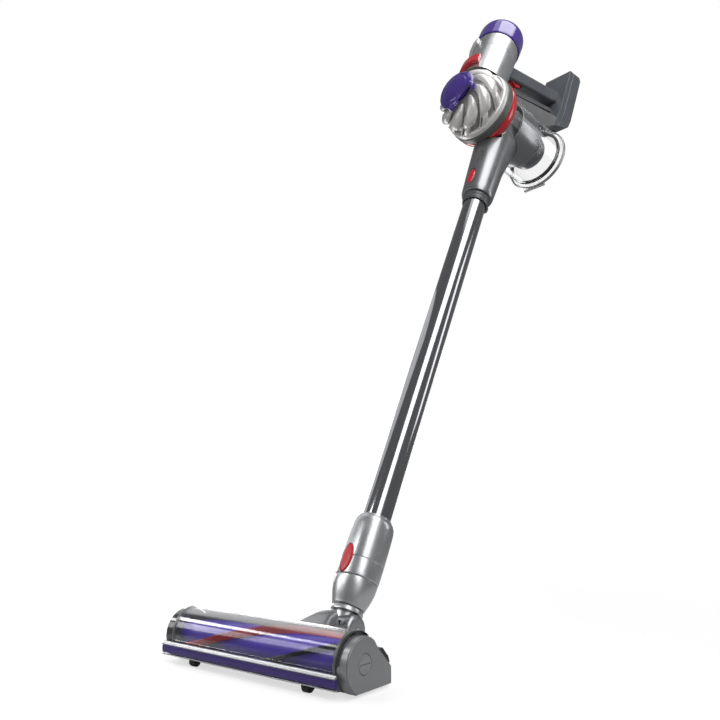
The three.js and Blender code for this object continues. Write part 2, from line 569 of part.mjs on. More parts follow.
function motorHousing() {
  const can = solid(revolve([
    [MOTOR_R - 3, -14], [MOTOR_R, -14], [MOTOR_R, MOTOR_TOP - 1], [MOTOR_R - 1, MOTOR_TOP],
    [MOTOR_R - 3, MOTOR_TOP],
  ], 32));
  const floor = solid(revolve([
    [8, 12], [MOTOR_R - 2, 12], [MOTOR_R - 2, 15], [8, 15],
  ], 32));
  return can.add(floor).subtract(cycloneInMotor);
}

// A curved pad on the outside of the motor housing, in front of it.
function housingPad(from, to, r0, r1, z0, z1) {
  const outline = [...arc(0, 0, r1, from, to, 10), ...arc(0, 0, r0, to, from, 10)];
  return plate(outline, z0, z1);
}

piece(motorParts, 'motor_housing', motorHousing(), SILVER);
piece(motorParts, 'motor', revolve([
  [0, 36], [20, 36], [26, 40], [26, 74], [20, 78], [0, 78],
], 24), CHARCOAL);
piece(motorParts, 'impeller', revolve([
  [0, 19], [7, 19], [12, 24], [24, 31], [24, 34], [0, 34],
], 24), NICKEL);
piece(motorParts, 'post_filter', revolve([
  [18, MOTOR_TOP + 3], [33, MOTOR_TOP + 3], [33, MOTOR_TOP + 32], [18, MOTOR_TOP + 32],
], 28), finish(0xe6e6ea, 0.9, 0));
piece(motorParts, 'post_filter_cap', revolve([
  [35.6, MOTOR_TOP + GAP], [38.4, MOTOR_TOP + GAP], [38.8, MOTOR_TOP + 33], [36.8, MOTOR_TOP + 41],
  [30, MOTOR_TOP + 48], [24, MOTOR_TOP + 50], [0, MOTOR_TOP + 50.8], [0, MOTOR_TOP + 48],
  [23, MOTOR_TOP + 47.4], [28.6, MOTOR_TOP + 45.6], [34, MOTOR_TOP + 40], [35.6, MOTOR_TOP + 33],
], 30), PURPLE);
piece(motorParts, 'release_lever', solid(housingPad(218, 292, MOTOR_R + 0.4, MOTOR_R + 7.5, 2, 19))
  .subtract(cycloneInMotor), RED);
piece(motorParts, 'mode_switch', housingPad(208, 262, MOTOR_R + 0.4, MOTOR_R + 6, 68, 81), SILVER);

// ---------------------------------------------------------------- handheld: grip, trigger and battery
const gripFrame = axisFrame(GRIP);
const motorZone = solid(cylinder(MOTOR_R + 0.4, -40, MOTOR_TOP + 60, 40), motorFrame);

// A rectangle with rounded corners, in (x, y).
function roundedRectangle(hx, hy, r) {
  const [cx, cy] = [hx - r, hy - r];
  return [
    ...arc(cx, cy, r, 0, 90, 4), ...arc(-cx, cy, r, 90, 180, 4),
    ...arc(-cx, -cy, r, 180, 270, 4), ...arc(cx, -cy, r, 270, 360, 4),
  ];
}

function gripHalf(side) {
  const bar = (inset, z0, z1) => solid(plate(
    roundedRectangle(...GRIP_HALF.map((half) => half - inset), GRIP_CORNER - inset), z0, z1));
  let grip = bar(0, -20, 190).subtract(bar(GRIP_WALL, -30, 200));
  grip = grip.subtract(solid(box(-6.6, 6.6, 4, 40, 4, 42)));
  const half = side > 0 ? box(0.15, 40, -40, 40, -60, 220) : box(-40, -0.15, -40, 40, -60, 220);
  grip = grip.intersect(solid(half)).transform(gripFrame.toArray());
  const behind = solid(box(-60, 60, BASE_B - GAP, 300, 800, 1300));
  return grip.subtract(motorZone).subtract(behind);
}

const baseOutline = [
  [BASE_B, 960], [BASE_B + 11, 968], [BASE_B + 11, 1116], [BASE_B, 1112],
];
const batteryOutline = [
  [BASE_B + 11.3, 968], [BASE_B + 30, 981], [BASE_B + 35, 989], [BASE_B + 35, 1119], [BASE_B + 29, 1125],
  [BASE_B + 11.3, 1117],
];

// The battery block seen from behind: it narrows towards its lower end.
function batteryBlock(outline) {
  const h = BATTERY_HALF;
  const rear = solid(plate([
    [-h, 1130], [h, 1130], [h, 1004], [h - 9, 950], [9 - h, 950], [-h, 1004],
  ], -300, 0).rotateX(Math.PI / 2));
  return solid(slab(outline, -h, h)).intersect(rear);
}

function bridge() {
  const side = solid(slab([
    [-10, 900], [-2, 917], [BASE_B - GAP, 981], [BASE_B - GAP, 958], [84, 932], [30, 890], [0, 890],
  ], -22, 22));
  const latchZone = solid(box(-9, 9, -BIN_R - 11, -BIN_R + 2, BIN_S[1] - 19, BIN_S[1] + 30), cycloneFrame);
  return side.subtract(cycloneZone).subtract(binZone).subtract(latchZone).subtract(ductBody(0.5));
}

function fingerGuard() {
  const rear = solid(slab([
    [-23, 932], [-8, 930], [8, 946], [BASE_B - GAP, 1005], [BASE_B - GAP, 1013], [4, 955],
    [-12, 944], [-23, 944],
  ], -5, 5));
  return rear.subtract(motorZone);
}

piece(turned, 'handle_right', gripHalf(1), CHARCOAL);
piece(turned, 'handle_left', gripHalf(-1), CHARCOAL);
piece(turned, 'handle_base', batteryBlock(baseOutline), CHARCOAL);
piece(turned, 'battery_pack', batteryBlock(batteryOutline)
  .subtract(solid(box(-6, 6, BASE_B + 17, BASE_B + 24, 900, 990))), DARK_SILVER);
piece(turned, 'bridge', bridge(), DARK_SILVER);
piece(turned, 'finger_guard', fingerGuard(), CHARCOAL);
const trigger = slab([
  [7, 10], [7, 36], [14, 37], [19, 31], [19.5, 22], [14, 16], [12.5, 9],
], -6, 6).applyMatrix4(gripFrame);
piece(turned, 'trigger', trigger, RED);

export default vacuum;
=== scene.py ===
"""Cordless stick vacuum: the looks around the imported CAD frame, in metres."""
import json
import math
import random

import bmesh
import bpy
from mathutils import Matrix, Vector


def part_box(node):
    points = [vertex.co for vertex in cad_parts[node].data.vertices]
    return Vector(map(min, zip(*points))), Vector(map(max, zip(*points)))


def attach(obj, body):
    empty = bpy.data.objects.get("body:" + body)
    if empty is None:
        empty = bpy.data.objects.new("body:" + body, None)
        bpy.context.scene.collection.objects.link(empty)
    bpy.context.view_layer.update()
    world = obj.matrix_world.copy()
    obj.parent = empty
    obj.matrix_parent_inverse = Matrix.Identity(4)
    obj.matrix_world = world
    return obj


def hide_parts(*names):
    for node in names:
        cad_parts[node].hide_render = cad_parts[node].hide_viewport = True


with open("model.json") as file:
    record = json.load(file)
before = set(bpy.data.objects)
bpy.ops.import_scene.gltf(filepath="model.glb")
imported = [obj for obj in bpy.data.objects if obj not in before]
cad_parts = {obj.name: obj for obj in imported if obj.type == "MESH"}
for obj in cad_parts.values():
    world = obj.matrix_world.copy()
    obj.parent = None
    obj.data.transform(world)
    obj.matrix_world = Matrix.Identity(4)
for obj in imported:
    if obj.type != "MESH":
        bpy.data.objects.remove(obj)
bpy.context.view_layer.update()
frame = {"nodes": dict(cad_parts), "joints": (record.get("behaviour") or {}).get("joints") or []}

MM = 0.001
TAU = 2 * math.pi
TINY = 1e-6
FINE, FINER, FINEST = 96, 128, 160  # steps round a lathe
MIX_FACTOR, MIX_A, MIX_B, MIX_RESULT = 0, 6, 7, 2  # a colour mix node's sockets

# ------------------------------------------------------------------ places, from the record
JOINTS = {joint["name"]: joint for joint in frame["joints"]}


def axis_of(name):
    """A joint's axis as a unit vector."""
    return Vector(JOINTS[name]["axis"]).normalized()


def place(origin, x_axis, z_axis):
    """Millimetres in a local frame to metres in the row frame."""
    z = z_axis.normalized()
    y = z.cross(x_axis).normalized()
    x = y.cross(z)
    matrix = Matrix((x, y, z)).transposed().to_4x4()
    matrix.translation = origin
    return matrix @ Matrix.Scale(MM, 4)


PIVOT = Vector(JOINTS["neck_swivel"]["pos_m"])
WAND_AXIS = axis_of("neck_swivel")
BACK = axis_of("cuff_button_press")
RIGHT = BACK.cross(WAND_AXIS)
ALONG = place(PIVOT, RIGHT, WAND_AXIS)  # +z up the wand, +y behind it

BIN_HINGE = (59, 164.5)  # the bin base's hinge in the cyclone frame: y and z
CYCLONE_AXIS = -axis_of("pre_filter_pull")
CYCLONE_DOWN = CYCLONE_AXIS.cross(RIGHT).normalized()
HINGE_AT = Vector(JOINTS["bin_base_open"]["pos_m"])
CYCLONE = place(
    HINGE_AT - CYCLONE_DOWN * BIN_HINGE[0] * MM - CYCLONE_AXIS * BIN_HINGE[1] * MM,
    RIGHT, CYCLONE_AXIS)  # +z from the dome to the bin's base, +y down
MOTOR = place(Vector(JOINTS["impeller_spin"]["pos_m"]), RIGHT, axis_of("impeller_spin"))  # +z up the motor
BRUSH_AT = Vector(JOINTS["brush_spin"]["pos_m"])
BRUSH = place(BRUSH_AT, Vector((0, 1, 0)), Vector((1, 0, 0)))  # +z along the brush, to the right
WORLD = Matrix.Scale(MM, 4)


# ------------------------------------------------------------------ materials
class Look:
    """A procedural material: colour, roughness and bump from noise at real scales."""

    def __init__(self, name, base, rough, metallic=0.0, coat=0.0, coat_rough=0.05):
        self.material = bpy.data.materials.new(name)
        self.material.use_nodes = True
        self.tree = self.material.node_tree
        self.shader = self.tree.nodes["Principled BSDF"]
        self.set("Base Color", (*base, 1))
        self.set("Roughness", rough)
        self.set("Metallic", metallic)
        self.set("Coat Weight", coat)
        self.set("Coat Roughness", coat_rough)
        self.coordinates = self.node("ShaderNodeTexCoord")
        self.base = base
        self.last_normal = None

    def set(self, socket, value):
        """A value that is the same all over the surface."""
        self.shader.inputs[socket].default_value = value

    def node(self, kind, **settings):
        made = self.tree.nodes.new(kind)
        for key, value in settings.items():
            setattr(made, key, value)
        return made

    def link(self, source, target):
        self.tree.links.new(source, target)

    def vector(self, stretch=(1, 1, 1), turned=None):
        mapping = self.node("ShaderNodeMapping")
        mapping.inputs["Scale"].default_value = stretch
        source = self.coordinates.outputs["Object"]
        if turned is not None:
            first = self.node("ShaderNodeMapping")
            first.inputs["Rotation"].default_value = turned
            self.link(source, first.inputs["Vector"])
            source = first.outputs["Vector"]
        self.link(source, mapping.inputs["Vector"])
        return mapping.outputs["Vector"]

    def noise(self, scale, detail=3.0, stretch=(1, 1, 1), turned=None):
        made = self.node("ShaderNodeTexNoise")
        made.inputs["Scale"].default_value = scale
        made.inputs["Detail"].default_value = detail
        self.link(self.vector(stretch, turned), made.inputs["Vector"])
        return made.outputs["Fac"]

    def ramp(self, factor, low, high, lo_at=0.3, hi_at=0.7):
        made = self.node("ShaderNodeMapRange")
        made.inputs["From Min"].default_value = lo_at
        made.inputs["From Max"].default_value = hi_at
        made.inputs["To Min"].default_value = low
        made.inputs["To Max"].default_value = high
        self.link(factor, made.inputs["Value"])
        return made.outputs["Result"]

    def colours(self, factor, low, high, lo_at=0.3, hi_at=0.7):
        made = self.node("ShaderNodeValToRGB")
        made.color_ramp.elements[0].position = lo_at
        made.color_ramp.elements[0].color = (*low, 1)
        made.color_ramp.elements[1].position = hi_at
        made.color_ramp.elements[1].color = (*high, 1)
        self.link(factor, made.inputs["Fac"])
        return made.outputs["Color"]

    def vary_roughness(self, scale, low, high, **noise):
        self.link(self.ramp(self.noise(scale, **noise), low, high), self.shader.inputs["Roughness"])

    def bump(self, factor, depth_mm, strength=1.0):
        made = self.node("ShaderNodeBump")
        made.inputs["Distance"].default_value = depth_mm * MM
        made.inputs["Strength"].default_value = strength
        self.link(factor, made.inputs["Height"])
        if self.last_normal is not None:
            self.link(self.last_normal, made.inputs["Normal"])
        self.last_normal = made.outputs["Normal"]
        self.link(self.last_normal, self.shader.inputs["Normal"])

    def worn_edges(self, worn, amount=0.5, scale=40, spread=0.12):
        """Mottles the base colour and lightens convex edges."""
        low = tuple(c * (1 - spread) for c in self.base)
        high = tuple(min(1, c * (1 + spread)) for c in self.base)
        body = self.colours(self.noise(scale, detail=5), low, high)
        edge = self.ramp(self.node("ShaderNodeNewGeometry").outputs["Pointiness"], 0, amount, 0.53, 0.62)
        mix = self.node("ShaderNodeMix", data_type="RGBA")
        mix.inputs[MIX_B].default_value = (*worn, 1)
        self.link(edge, mix.inputs[MIX_FACTOR])
        self.link(body, mix.inputs[MIX_A])
        self.link(mix.outputs[MIX_RESULT], self.shader.inputs["Base Color"])


def lighter(base, gain, lift):
    """A worn tone of a colour."""
    return tuple(min(1, c * gain + lift) for c in base)


def moulded(name, base, rough, grain=0.02, coat=0.0, scale=1800):
    """Matt plastic with a fine moulded grain."""
    look = Look(name, base, rough, coat=coat, coat_rough=0.12)
    look.worn_edges(lighter(base, 1.7, 0.03), amount=0.45)
    look.vary_roughness(35, rough - 0.06, rough + 0.08, detail=4)
    look.bump(look.noise(scale, detail=2), grain)
    return look.material


def painted(name, base, rough=0.3, metallic=0.75):
    """Metallic paint: fine flakes under a thin lacquer."""
    look = Look(name, base, rough, metallic, coat=0.35, coat_rough=0.08)
    look.worn_edges(lighter(base, 1.25, 0.05), amount=0.35, scale=900, spread=0.07)
    look.vary_roughness(50, rough - 0.04, rough + 0.06, detail=5)
    look.bump(look.noise(4200, detail=1), 0.004)
    look.bump(look.noise(26, detail=2), 0.02, 0.5)
    return look.material


def plated(name, base, rough=0.11):
    """Drawn and plated tube: fine lines along its length."""
    look = Look(name, base, rough, 1.0)
    turned = (math.atan2(WAND_AXIS.y, WAND_AXIS.z), 0, 0)
    look.link(look.colours(look.noise(60, stretch=(14, 14, 0.6), turned=turned),
                           tuple(c * 0.93 for c in base), tuple(c * 1.07 for c in base)),
              look.shader.inputs["Base Color"])
    look.vary_roughness(300, rough - 0.03, rough + 0.05, stretch=(8, 8, 0.15), turned=turned)
    look.bump(look.noise(700, detail=2, stretch=(6, 6, 0.05), turned=turned), 0.003)
    return look.material


def glossy(name, base, rough=0.16):
    """Polished plastic with a clear coat and a slight orange peel."""
    look = Look(name, base, rough, coat=0.7, coat_rough=0.04)
    look.worn_edges(lighter(base, 1.5, 0.08), amount=0.35, scale=25, spread=0.1)
    look.vary_roughness(90, rough - 0.04, rough + 0.08, detail=6)
    look.bump(look.noise(34, detail=3), 0.03, 0.4)
    return look.material


def clear(name, tint, least, most, rough=0.04, facing=0.35):
    """Clear moulding: nearly invisible face on, stronger where it turns away."""
    look = Look(name, tint, rough, metallic=1.0)
    weight = look.node("ShaderNodeLayerWeight")
    weight.inputs["Blend"].default_value = facing
    scuffs = look.ramp(look.noise(220, detail=6), 0, 0.03, 0.55, 0.75)
    total = look.node("ShaderNodeMath", operation="ADD")
    look.link(look.ramp(weight.outputs["Facing"], least, most, 0.25, 1.0), total.inputs[0])
    look.link(scuffs, total.inputs[1])
    look.link(total.outputs["Value"], look.shader.inputs["Alpha"])
    look.vary_roughness(140, rough, rough + 0.05, detail=6)
    look.bump(look.noise(18, detail=2), 0.02, 0.3)
    return look.material


def fibrous(name, base, along=(1, 1, 1), rough=0.5, tip=None, scale=900):
    """Felt or bristles: a streaked colour and a soft sheen."""
    look = Look(name, base, rough)
    low = tuple(c * 0.55 for c in base)
    look.link(look.colours(look.noise(scale, detail=4, stretch=along), low, tip or base),
              look.shader.inputs["Base Color"])
    look.vary_roughness(200, rough - 0.1, rough + 0.15)
    look.bump(look.noise(scale * 2, detail=3, stretch=along), 0.15)
    look.set("Sheen Weight", 0.2)
    return look.material


M = {
    "black_plastic": moulded("black_plastic", (0.012, 0.012, 0.013), 0.42),
    "dark_grey_plastic": moulded("dark_grey_plastic", (0.075, 0.078, 0.08), 0.36, coat=0.15),
    "mid_grey_plastic": moulded("mid_grey_plastic", (0.13, 0.132, 0.135), 0.34, coat=0.2),
    "ring_grey": moulded("ring_grey", (0.082, 0.088, 0.08), 0.4, coat=0.1),
    "blue_grey_plastic": moulded("blue_grey_plastic", (0.068, 0.078, 0.088), 0.38, coat=0.12),
    "cap_grey": painted("cap_grey", (0.25, 0.255, 0.26), 0.34, 0.5),
    "smoke": glossy("smoke_gloss", (0.035, 0.035, 0.038), 0.12),
    "silver": painted("silver_paint", (0.47, 0.48, 0.49), 0.3, 0.85),
    "silver_dark": painted("silver_paint_dark", (0.27, 0.275, 0.285), 0.3, 0.85),
    "dome_silver": painted("dome_silver", (0.66, 0.65, 0.635), 0.3, 0.25),
    "dome_shadow": painted("dome_shadow", (0.26, 0.25, 0.245), 0.4, 0.3),
    "nickel": plated("dark_nickel", (0.36, 0.365, 0.38)),
    "steel": painted("plain_steel", (0.5, 0.5, 0.5), 0.3, 1.0),
    "purple": glossy("purple_gloss", (0.05, 0.02, 0.24)),
    "purple_core": moulded("purple_core", (0.055, 0.024, 0.38), 0.34, grain=0.006, coat=0.12),
    "purple_satin": moulded("purple_satin", (0.032, 0.012, 0.15), 0.36, grain=0.008, coat=0.06),
    "red_satin": moulded("red_satin", (0.45, 0.004, 0.01), 0.42, grain=0.006, coat=0.04),
    "red": glossy("red_gloss", (0.52, 0.008, 0.016)),
    "clear_bin": clear("clear_bin", (0.92, 0.94, 0.96), 0.03, 0.4),
    "clear_window": clear("clear_window", (0.97, 0.97, 0.98), 0.03, 0.7, rough=0.06, facing=0.4),
    "rubber": moulded("soft_rubber", (0.012, 0.012, 0.012), 0.7, grain=0.03, scale=900),
    "felt": fibrous("felt", (0.03, 0.03, 0.033), rough=0.9, scale=1500),
    "filter": fibrous("filter_felt", (0.75, 0.75, 0.78), rough=0.9, scale=700),
    "bristle_red": fibrous("bristle_red", (0.6, 0.012, 0.014), (0.4, 3, 3), 0.4, tip=(0.8, 0.05, 0.05)),
    "bristle_black": fibrous("bristle_black", (0.012, 0.012, 0.016), (0.4, 3, 3), 0.4),
}


# ------------------------------------------------------------------ mesh tools
def link_object(name, mesh):
    obj = bpy.data.objects.new(name, mesh)
    bpy.context.scene.collection.objects.link(obj)
    return obj


def build(name, points, faces, matrix=WORLD):
    """A mesh from local millimetre points, with its outside facing out."""
    mesh = bpy.data.meshes.new(name)
    mesh.from_pydata([matrix @ Vector(p) for p in points], [], faces)
    tidy = bmesh.new()
    tidy.from_mesh(mesh)
    bmesh.ops.remove_doubles(tidy, verts=tidy.verts, dist=TINY)
    bmesh.ops.recalc_face_normals(tidy, faces=tidy.faces)
    tidy.to_mesh(mesh)
    tidy.free()
    return link_object(name, mesh)


def bake(obj):
    """Applies the modifiers, so that the mesh is what shows."""
    bpy.context.view_layer.update()
    done = bpy.data.meshes.new_from_object(obj.evaluated_get(bpy.context.evaluated_depsgraph_get()))
    obj.modifiers.clear()
    obj.data = done
    return obj


def smooth(obj, angle=32):
    """Smooth shading with sharp edges kept past an angle in degrees."""
    mesh = bmesh.new()
    mesh.from_mesh(obj.data)
    limit = math.radians(angle)
    for face in mesh.faces:
        face.smooth = True
    for edge in mesh.edges:
        edge.smooth = len(edge.link_faces) == 2 and edge.calc_face_angle(0) < limit
    mesh.to_mesh(obj.data)
    mesh.free()
    return obj


def soften(obj, width_mm, segments=3):
    """Rounds every sharp edge a little."""
    bevel = obj.modifiers.new("edge", "BEVEL")
    bevel.width = width_mm * MM
    bevel.segments = segments
    bevel.limit_method = "ANGLE"
    bevel.angle_limit = math.radians(30)
    bevel.use_clamp_overlap = True
    bake(obj)
    smooth(obj, 50)
    weighted = obj.modifiers.new("normals", "WEIGHTED_NORMAL")
    weighted.keep_sharp = True
    return obj


def cut(obj, *tools):
    """Takes each tool out of an object, in turn."""
    for tool in tools:
        step = obj.modifiers.new("cut", "BOOLEAN")
        step.operation = "DIFFERENCE"
        step.solver = "EXACT"
        step.object = tool
        bake(obj)
        bpy.data.objects.remove(tool)
    return obj


def rounded(profile, radius, steps=4):
    """Rounds a closed outline's corners. A point is (a, b), or (a, b, its own radius); 0 keeps it sharp."""
    points = [Vector(p[:2]) for p in profile]
    count = len(points)
    result = []
    for i, corner in enumerate(points):
        arm_in, arm_out = points[i - 1] - corner, points[(i + 1) % count] - corner
        reach = profile[i][2] if len(profile[i]) > 2 else radius
        if reach <= 0 or arm_in.length < TINY or arm_out.length < TINY:
            result.append(tuple(corner))
            continue
        reach = min(reach, arm_in.length * 0.48, arm_out.length * 0.48)
        start = corner + arm_in.normalized() * reach
        end = corner + arm_out.normalized() * reach
        for k in range(steps + 1):
            t = k / steps
            result.append(tuple((1 - t) ** 2 * start + 2 * t * (1 - t) * corner + t * t * end))
    return result


def lathe(name, profile, matrix, radius=1.0, segments=FINE):
    """A body of revolution about local +z from a closed (r, z) outline; radii of 0 meet on the axis."""
    outline = rounded([(max(r, 0), z, *rest) if r > 0 else (0, z, 0) for r, z, *rest in profile], radius)
    points, faces = [], []
    count = len(outline)
    for i in range(segments):
        a = TAU * i / segments
        points += [(r * math.cos(a), r * math.sin(a), z) for r, z in outline]
    for i in range(segments):
        j = (i + 1) % segments
        for k in range(count):
            m = (k + 1) % count
            if outline[k][0] < TINY and outline[m][0] < TINY:
                continue
            faces.append((i * count + k, i * count + m, j * count + m, j * count + k))
    return smooth(build(name, points, faces, matrix))


AXIS_ORDER = {"yz": lambda a, b, c: (c, a, b), "xy": lambda a, b, c: (a, b, c), "xz": lambda a, b, c: (a, c, b)}


def prism(name, outline, low, high, matrix, axes="yz", radius=0.0):
    """An outline in two local axes carried along the third."""
    shape = rounded(outline, radius) if radius else [tuple(p[:2]) for p in outline]
    count = len(shape)
    points = [AXIS_ORDER[axes](a, b, c) for c in (low, high) for a, b in shape]
    faces = [tuple(range(count)), tuple(range(2 * count - 1, count - 1, -1))]
    faces += [(i, (i + 1) % count, count + (i + 1) % count, count + i) for i in range(count)]
    return build(name, points, faces, matrix)


def arc(cy, cz, radius, start, end, steps):
    """Points on a circle, from one angle to another in degrees."""
    angles = [math.radians(start + (end - start) * i / steps) for i in range(steps + 1)]
    return [(cy + radius * math.cos(a), cz + radius * math.sin(a)) for a in angles]


def loft(name, rings, matrix):
    """Skins equal rings of points and closes both ends."""
    count = len(rings[0])
    points = [p for ring in rings for p in ring]
    faces = []
    for i in range(len(rings) - 1):
        for k in range(count):
            m = (k + 1) % count
            faces.append((i * count + k, i * count + m, (i + 1) * count + m, (i + 1) * count + k))
    faces += [tuple(range(count)), tuple(range(len(points) - count, len(points)))]
    return build(name, points, faces, matrix)


def skin(node, width_mm=0.6, segments=3):
    """A copy of a CAD node with eased edges."""
    mesh = frame["nodes"][node].data.copy()
    mesh.materials.clear()
    obj = link_object(f"{node}_skin", mesh)
    flat = bmesh.new()
    flat.from_mesh(mesh)
    bmesh.ops.remove_doubles(flat, verts=flat.verts, dist=2e-6)
    bmesh.ops.dissolve_limit(flat, angle_limit=math.radians(1.5), verts=flat.verts, edges=flat.edges)
    flat.to_mesh(mesh)
    flat.free()
    return soften(obj, width_mm, segments)


def finish(obj, body, slot, material, *nodes):
    """Gives a piece its material and its body, and hides the CAD nodes that it stands for; its slot is not
    used.
    """
    obj.data.materials.clear()
    obj.data.materials.append(M[material])
    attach(obj, body)
    if nodes:
        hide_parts(*nodes)
    return obj


def keep(node, material):
    """A CAD node that shows as it is, in a better material."""
    mesh = frame["nodes"][node].data
    mesh.materials.clear()
    mesh.materials.append(M[material])


def join(name, parts):
    """Several loose shapes as one mesh."""
    merged = bmesh.new()
    for part in parts:
        merged.from_mesh(bake(part).data)
        bpy.data.objects.remove(part)
    mesh = bpy.data.meshes.new(name)
    merged.to_mesh(mesh)
    merged.free()
    return link_object(name, mesh)


# ------------------------------------------------------------------ wand
CUFF_R = 25.8
CUFF = (56, 134)  # from and to, along the wand
TUBE_R = 17.6
TUBE = (84, 714)
COLLAR = (666, 680.7)
CUFF_BUTTON_Z = 74
DUCT_BUTTON_Z = 709


def oval_tool(name, half_x, half_z, y0, y1, z):
    """A tool for a button's mouth, at a height on the wand."""
    points = [(half_x * math.cos(TAU * i / 48), z + half_z * math.sin(TAU * i / 48)) for i in range(48)]
    return prism(name, points, y0, y1, ALONG, axes="xz")


def make_wand():
    low, high = CUFF
    cuff = lathe("wand_cuff_shell", [
        (18, low, 0.2), (CUFF_R - 0.6, low, 0.6), (CUFF_R, low + 1.6, 0.5), (CUFF_R + 0.3, low + 10, 4),
        (CUFF_R + 0.4, low + 21, 0.3), (CUFF_R - 0.1, low + 21.5, 0.2), (CUFF_R - 0.1, low + 22, 0.2),
        (CUFF_R + 0.4, low + 22.5, 0.3), (CUFF_R + 0.3, 106, 10), (CUFF_R - 0.2, 121, 4),
        (CUFF_R - 1.4, 127, 2.5), (21.6, 131.6, 1.2), (20, 132, 0.6), (19.6, high, 0.5), (18, high, 0.2),
    ], ALONG, radius=1, segments=FINER)
    cut(cuff, oval_tool("cuff_hole", 9, 17.9, -40, -19, CUFF_BUTTON_Z))
    finish(smooth(cuff), "wand", "silver_paint", "silver", "wand_cuff")
    finish(push_button("cuff_button_face", 8.6, 17.5, CUFF_BUTTON_Z, CUFF_R + 1, CUFF_R - 2),
           "cuff_button", "red_gloss", "red_satin", "cuff_button")
    low, high = TUBE
    tube = lathe("wand_tube_drawn", [
        (TUBE_R - 1.2, low, 0.3), (TUBE_R, low, 0.4), (TUBE_R, high, 0.4), (TUBE_R - 1.2, high, 0.3),
    ], ALONG, segments=FINER)
    finish(tube, "wand", "dark_nickel", "nickel", "wand_tube")
    start, end = COLLAR
    collar = lathe("wand_collar_ring", [
        (18, start, 0.3), (19.4, start, 0.6), (20.2, start + 3.5, 1), (20.4, start + 7, 0.3),
        (19.9, start + 7.5, 0.2), (19.9, start + 8.3, 0.2), (20.4, start + 8.8, 0.3), (20.6, end, 0.5),
        (18, end, 0.3),
    ], ALONG)
    catch = prism("collar_catch", [
        (19, start + 2), (23, start + 3), (24, end - 4), (23.4, end - 1), (19, end - 1),
    ], -7, 7, ALONG, radius=1.2)
    finish(join("wand_collar", [collar, soften(catch, 0.8)]), "wand", "black_plastic", "dark_grey_plastic",
           "wand_top_collar")


# depth, inset
BUTTON_DOME = [(0, 0), (0.55, 0), (0.8, 0.06), (0.94, 0.2), (1.0, 0.42), (1.04, 0.7), (1.05, 0.97)]


def push_button(name, half_x, half_z, z, outer, inner):
    """An oval button with a domed face, curved round the wand."""
    rings = []
    for depth, inset in BUTTON_DOME:
        ring = []
        for i in range(56):
            a = TAU * i / 56
            x, dz = half_x * (1 - inset) * math.cos(a), half_z * (1 - inset) * math.sin(a)
            radius = inner + (outer - inner) * depth
            ring.append((x, -math.sqrt(radius ** 2 - x * x), z + dz))
        rings.append(ring)
    return smooth(loft(name, rings, ALONG), 60)


# ------------------------------------------------------------------ neck
EAR_X = 22.5  # the ears' outer faces
EAR_R = 17.5
DRUM_X, DRUM_R = 13.8, 17.7  # the elbow's slot
FLANGE_X, FLANGE_R = 20, 31  # what the tube's flange sweeps
PIN_R = 4.4
NECK_HUMP = [(14.4, 58, 30), (22, 52, 33), (32, 41, 38), (44, 31, 43), (56, 24, 47), (66, 22.5, 49),
             (74, 22.5, 49.4), (82, 22.5, 46), (88, 22.5, 40), (92.3, 22.5, 36)]  # y, half width, top
HUMP_STEPS = 40


def make_neck():
    tube = lathe("neck_tube_shell", [
        (9.8, 18.8, 0.3), (11.6, 18.8, 0.4), (11.6, 24.4, 0.3), (19.4, 24.4, 0.8), (20, 27, 3), (23.2, 37, 12),
        (25.2, 47, 10), (25.5, 55.6, 0.5), (17.6, 55.6, 0.3), (17.6, 80, 0.6), (14.6, 80, 0.5), (14.6, 30, 1),
        (9.8, 26, 1),
    ], ALONG, segments=FINER)
    finish(tube, "neck", "silver_paint", "silver", "neck_tube")
    finish(skin("neck_elbow", 0.9, 4), "elbow", "silver_paint", "silver", "neck_elbow")
    finish(neck_shell(), "head", "dark_grey_plastic", "silver_dark", "neck_base")
    for node in ("hinge_pin_left", "hinge_pin_right", "rear_axle"):
        keep(node, "steel")


def neck_shell():
    """A smooth hump that narrows towards two ears, with a slot between them for the elbow."""
    pivot = Matrix.Translation(PIVOT) @ Matrix.Rotation(math.pi / 2, 4, "Y") @ WORLD
    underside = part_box("neck_base")[0].z / MM
    rings = []
    for y, half, top in NECK_HUMP:
        ring = []
        for k in range(HUMP_STEPS + 1):
            a = math.pi * k / HUMP_STEPS
            x = math.copysign(abs(math.cos(a)) ** 0.62, math.cos(a)) * half
            rise = math.sin(a) ** 0.7 if 0 < k < HUMP_STEPS else 0
            ring.append((x, y, underside + (top - underside) * rise))
        rings.append(ring)
    hump = loft("neck_hump", rings, WORLD)
    sweep = lathe("flange_sweep", [
        (EAR_R + 0.1, -FLANGE_X), (FLANGE_R, -FLANGE_X), (FLANGE_R, FLANGE_X), (EAR_R + 0.1, FLANGE_X),
    ], pivot, 0.1)
    cut(sweep, prism("below_sweep", [(20, -20), (160, -20), (160, 18), (20, 18)], -25, 25, WORLD))
    airway_end = PIVOT.y / MM - 8
    cut(hump, sweep,
        prism("airway", [(0, 12), (airway_end, 12), (airway_end, 26), (0, 26)], -12, 12, WORLD))
    ears = lathe("neck_ears", [
        (0, -EAR_X), (EAR_R - 3, -EAR_X, 1), (EAR_R, -EAR_X + 3.5, 2), (EAR_R, EAR_X - 3.5, 2),
        (EAR_R - 3, EAR_X, 1), (0, EAR_X),
    ], pivot)
    parts = []
    for part in (hump, ears):  # cut one at a time: a cut fails on shells that cross
        slot = lathe("drum_slot", [(0, -DRUM_X), (DRUM_R, -DRUM_X), (DRUM_R, DRUM_X), (0, DRUM_X)], pivot, 0.1)
        hole = lathe("pin_hole", [(0, -60), (PIN_R, -60), (PIN_R, 60), (0, 60)], pivot, 0.1, 32)
        parts.append(smooth(cut(part, slot, hole), 50))
    return join("neck_shell", parts)


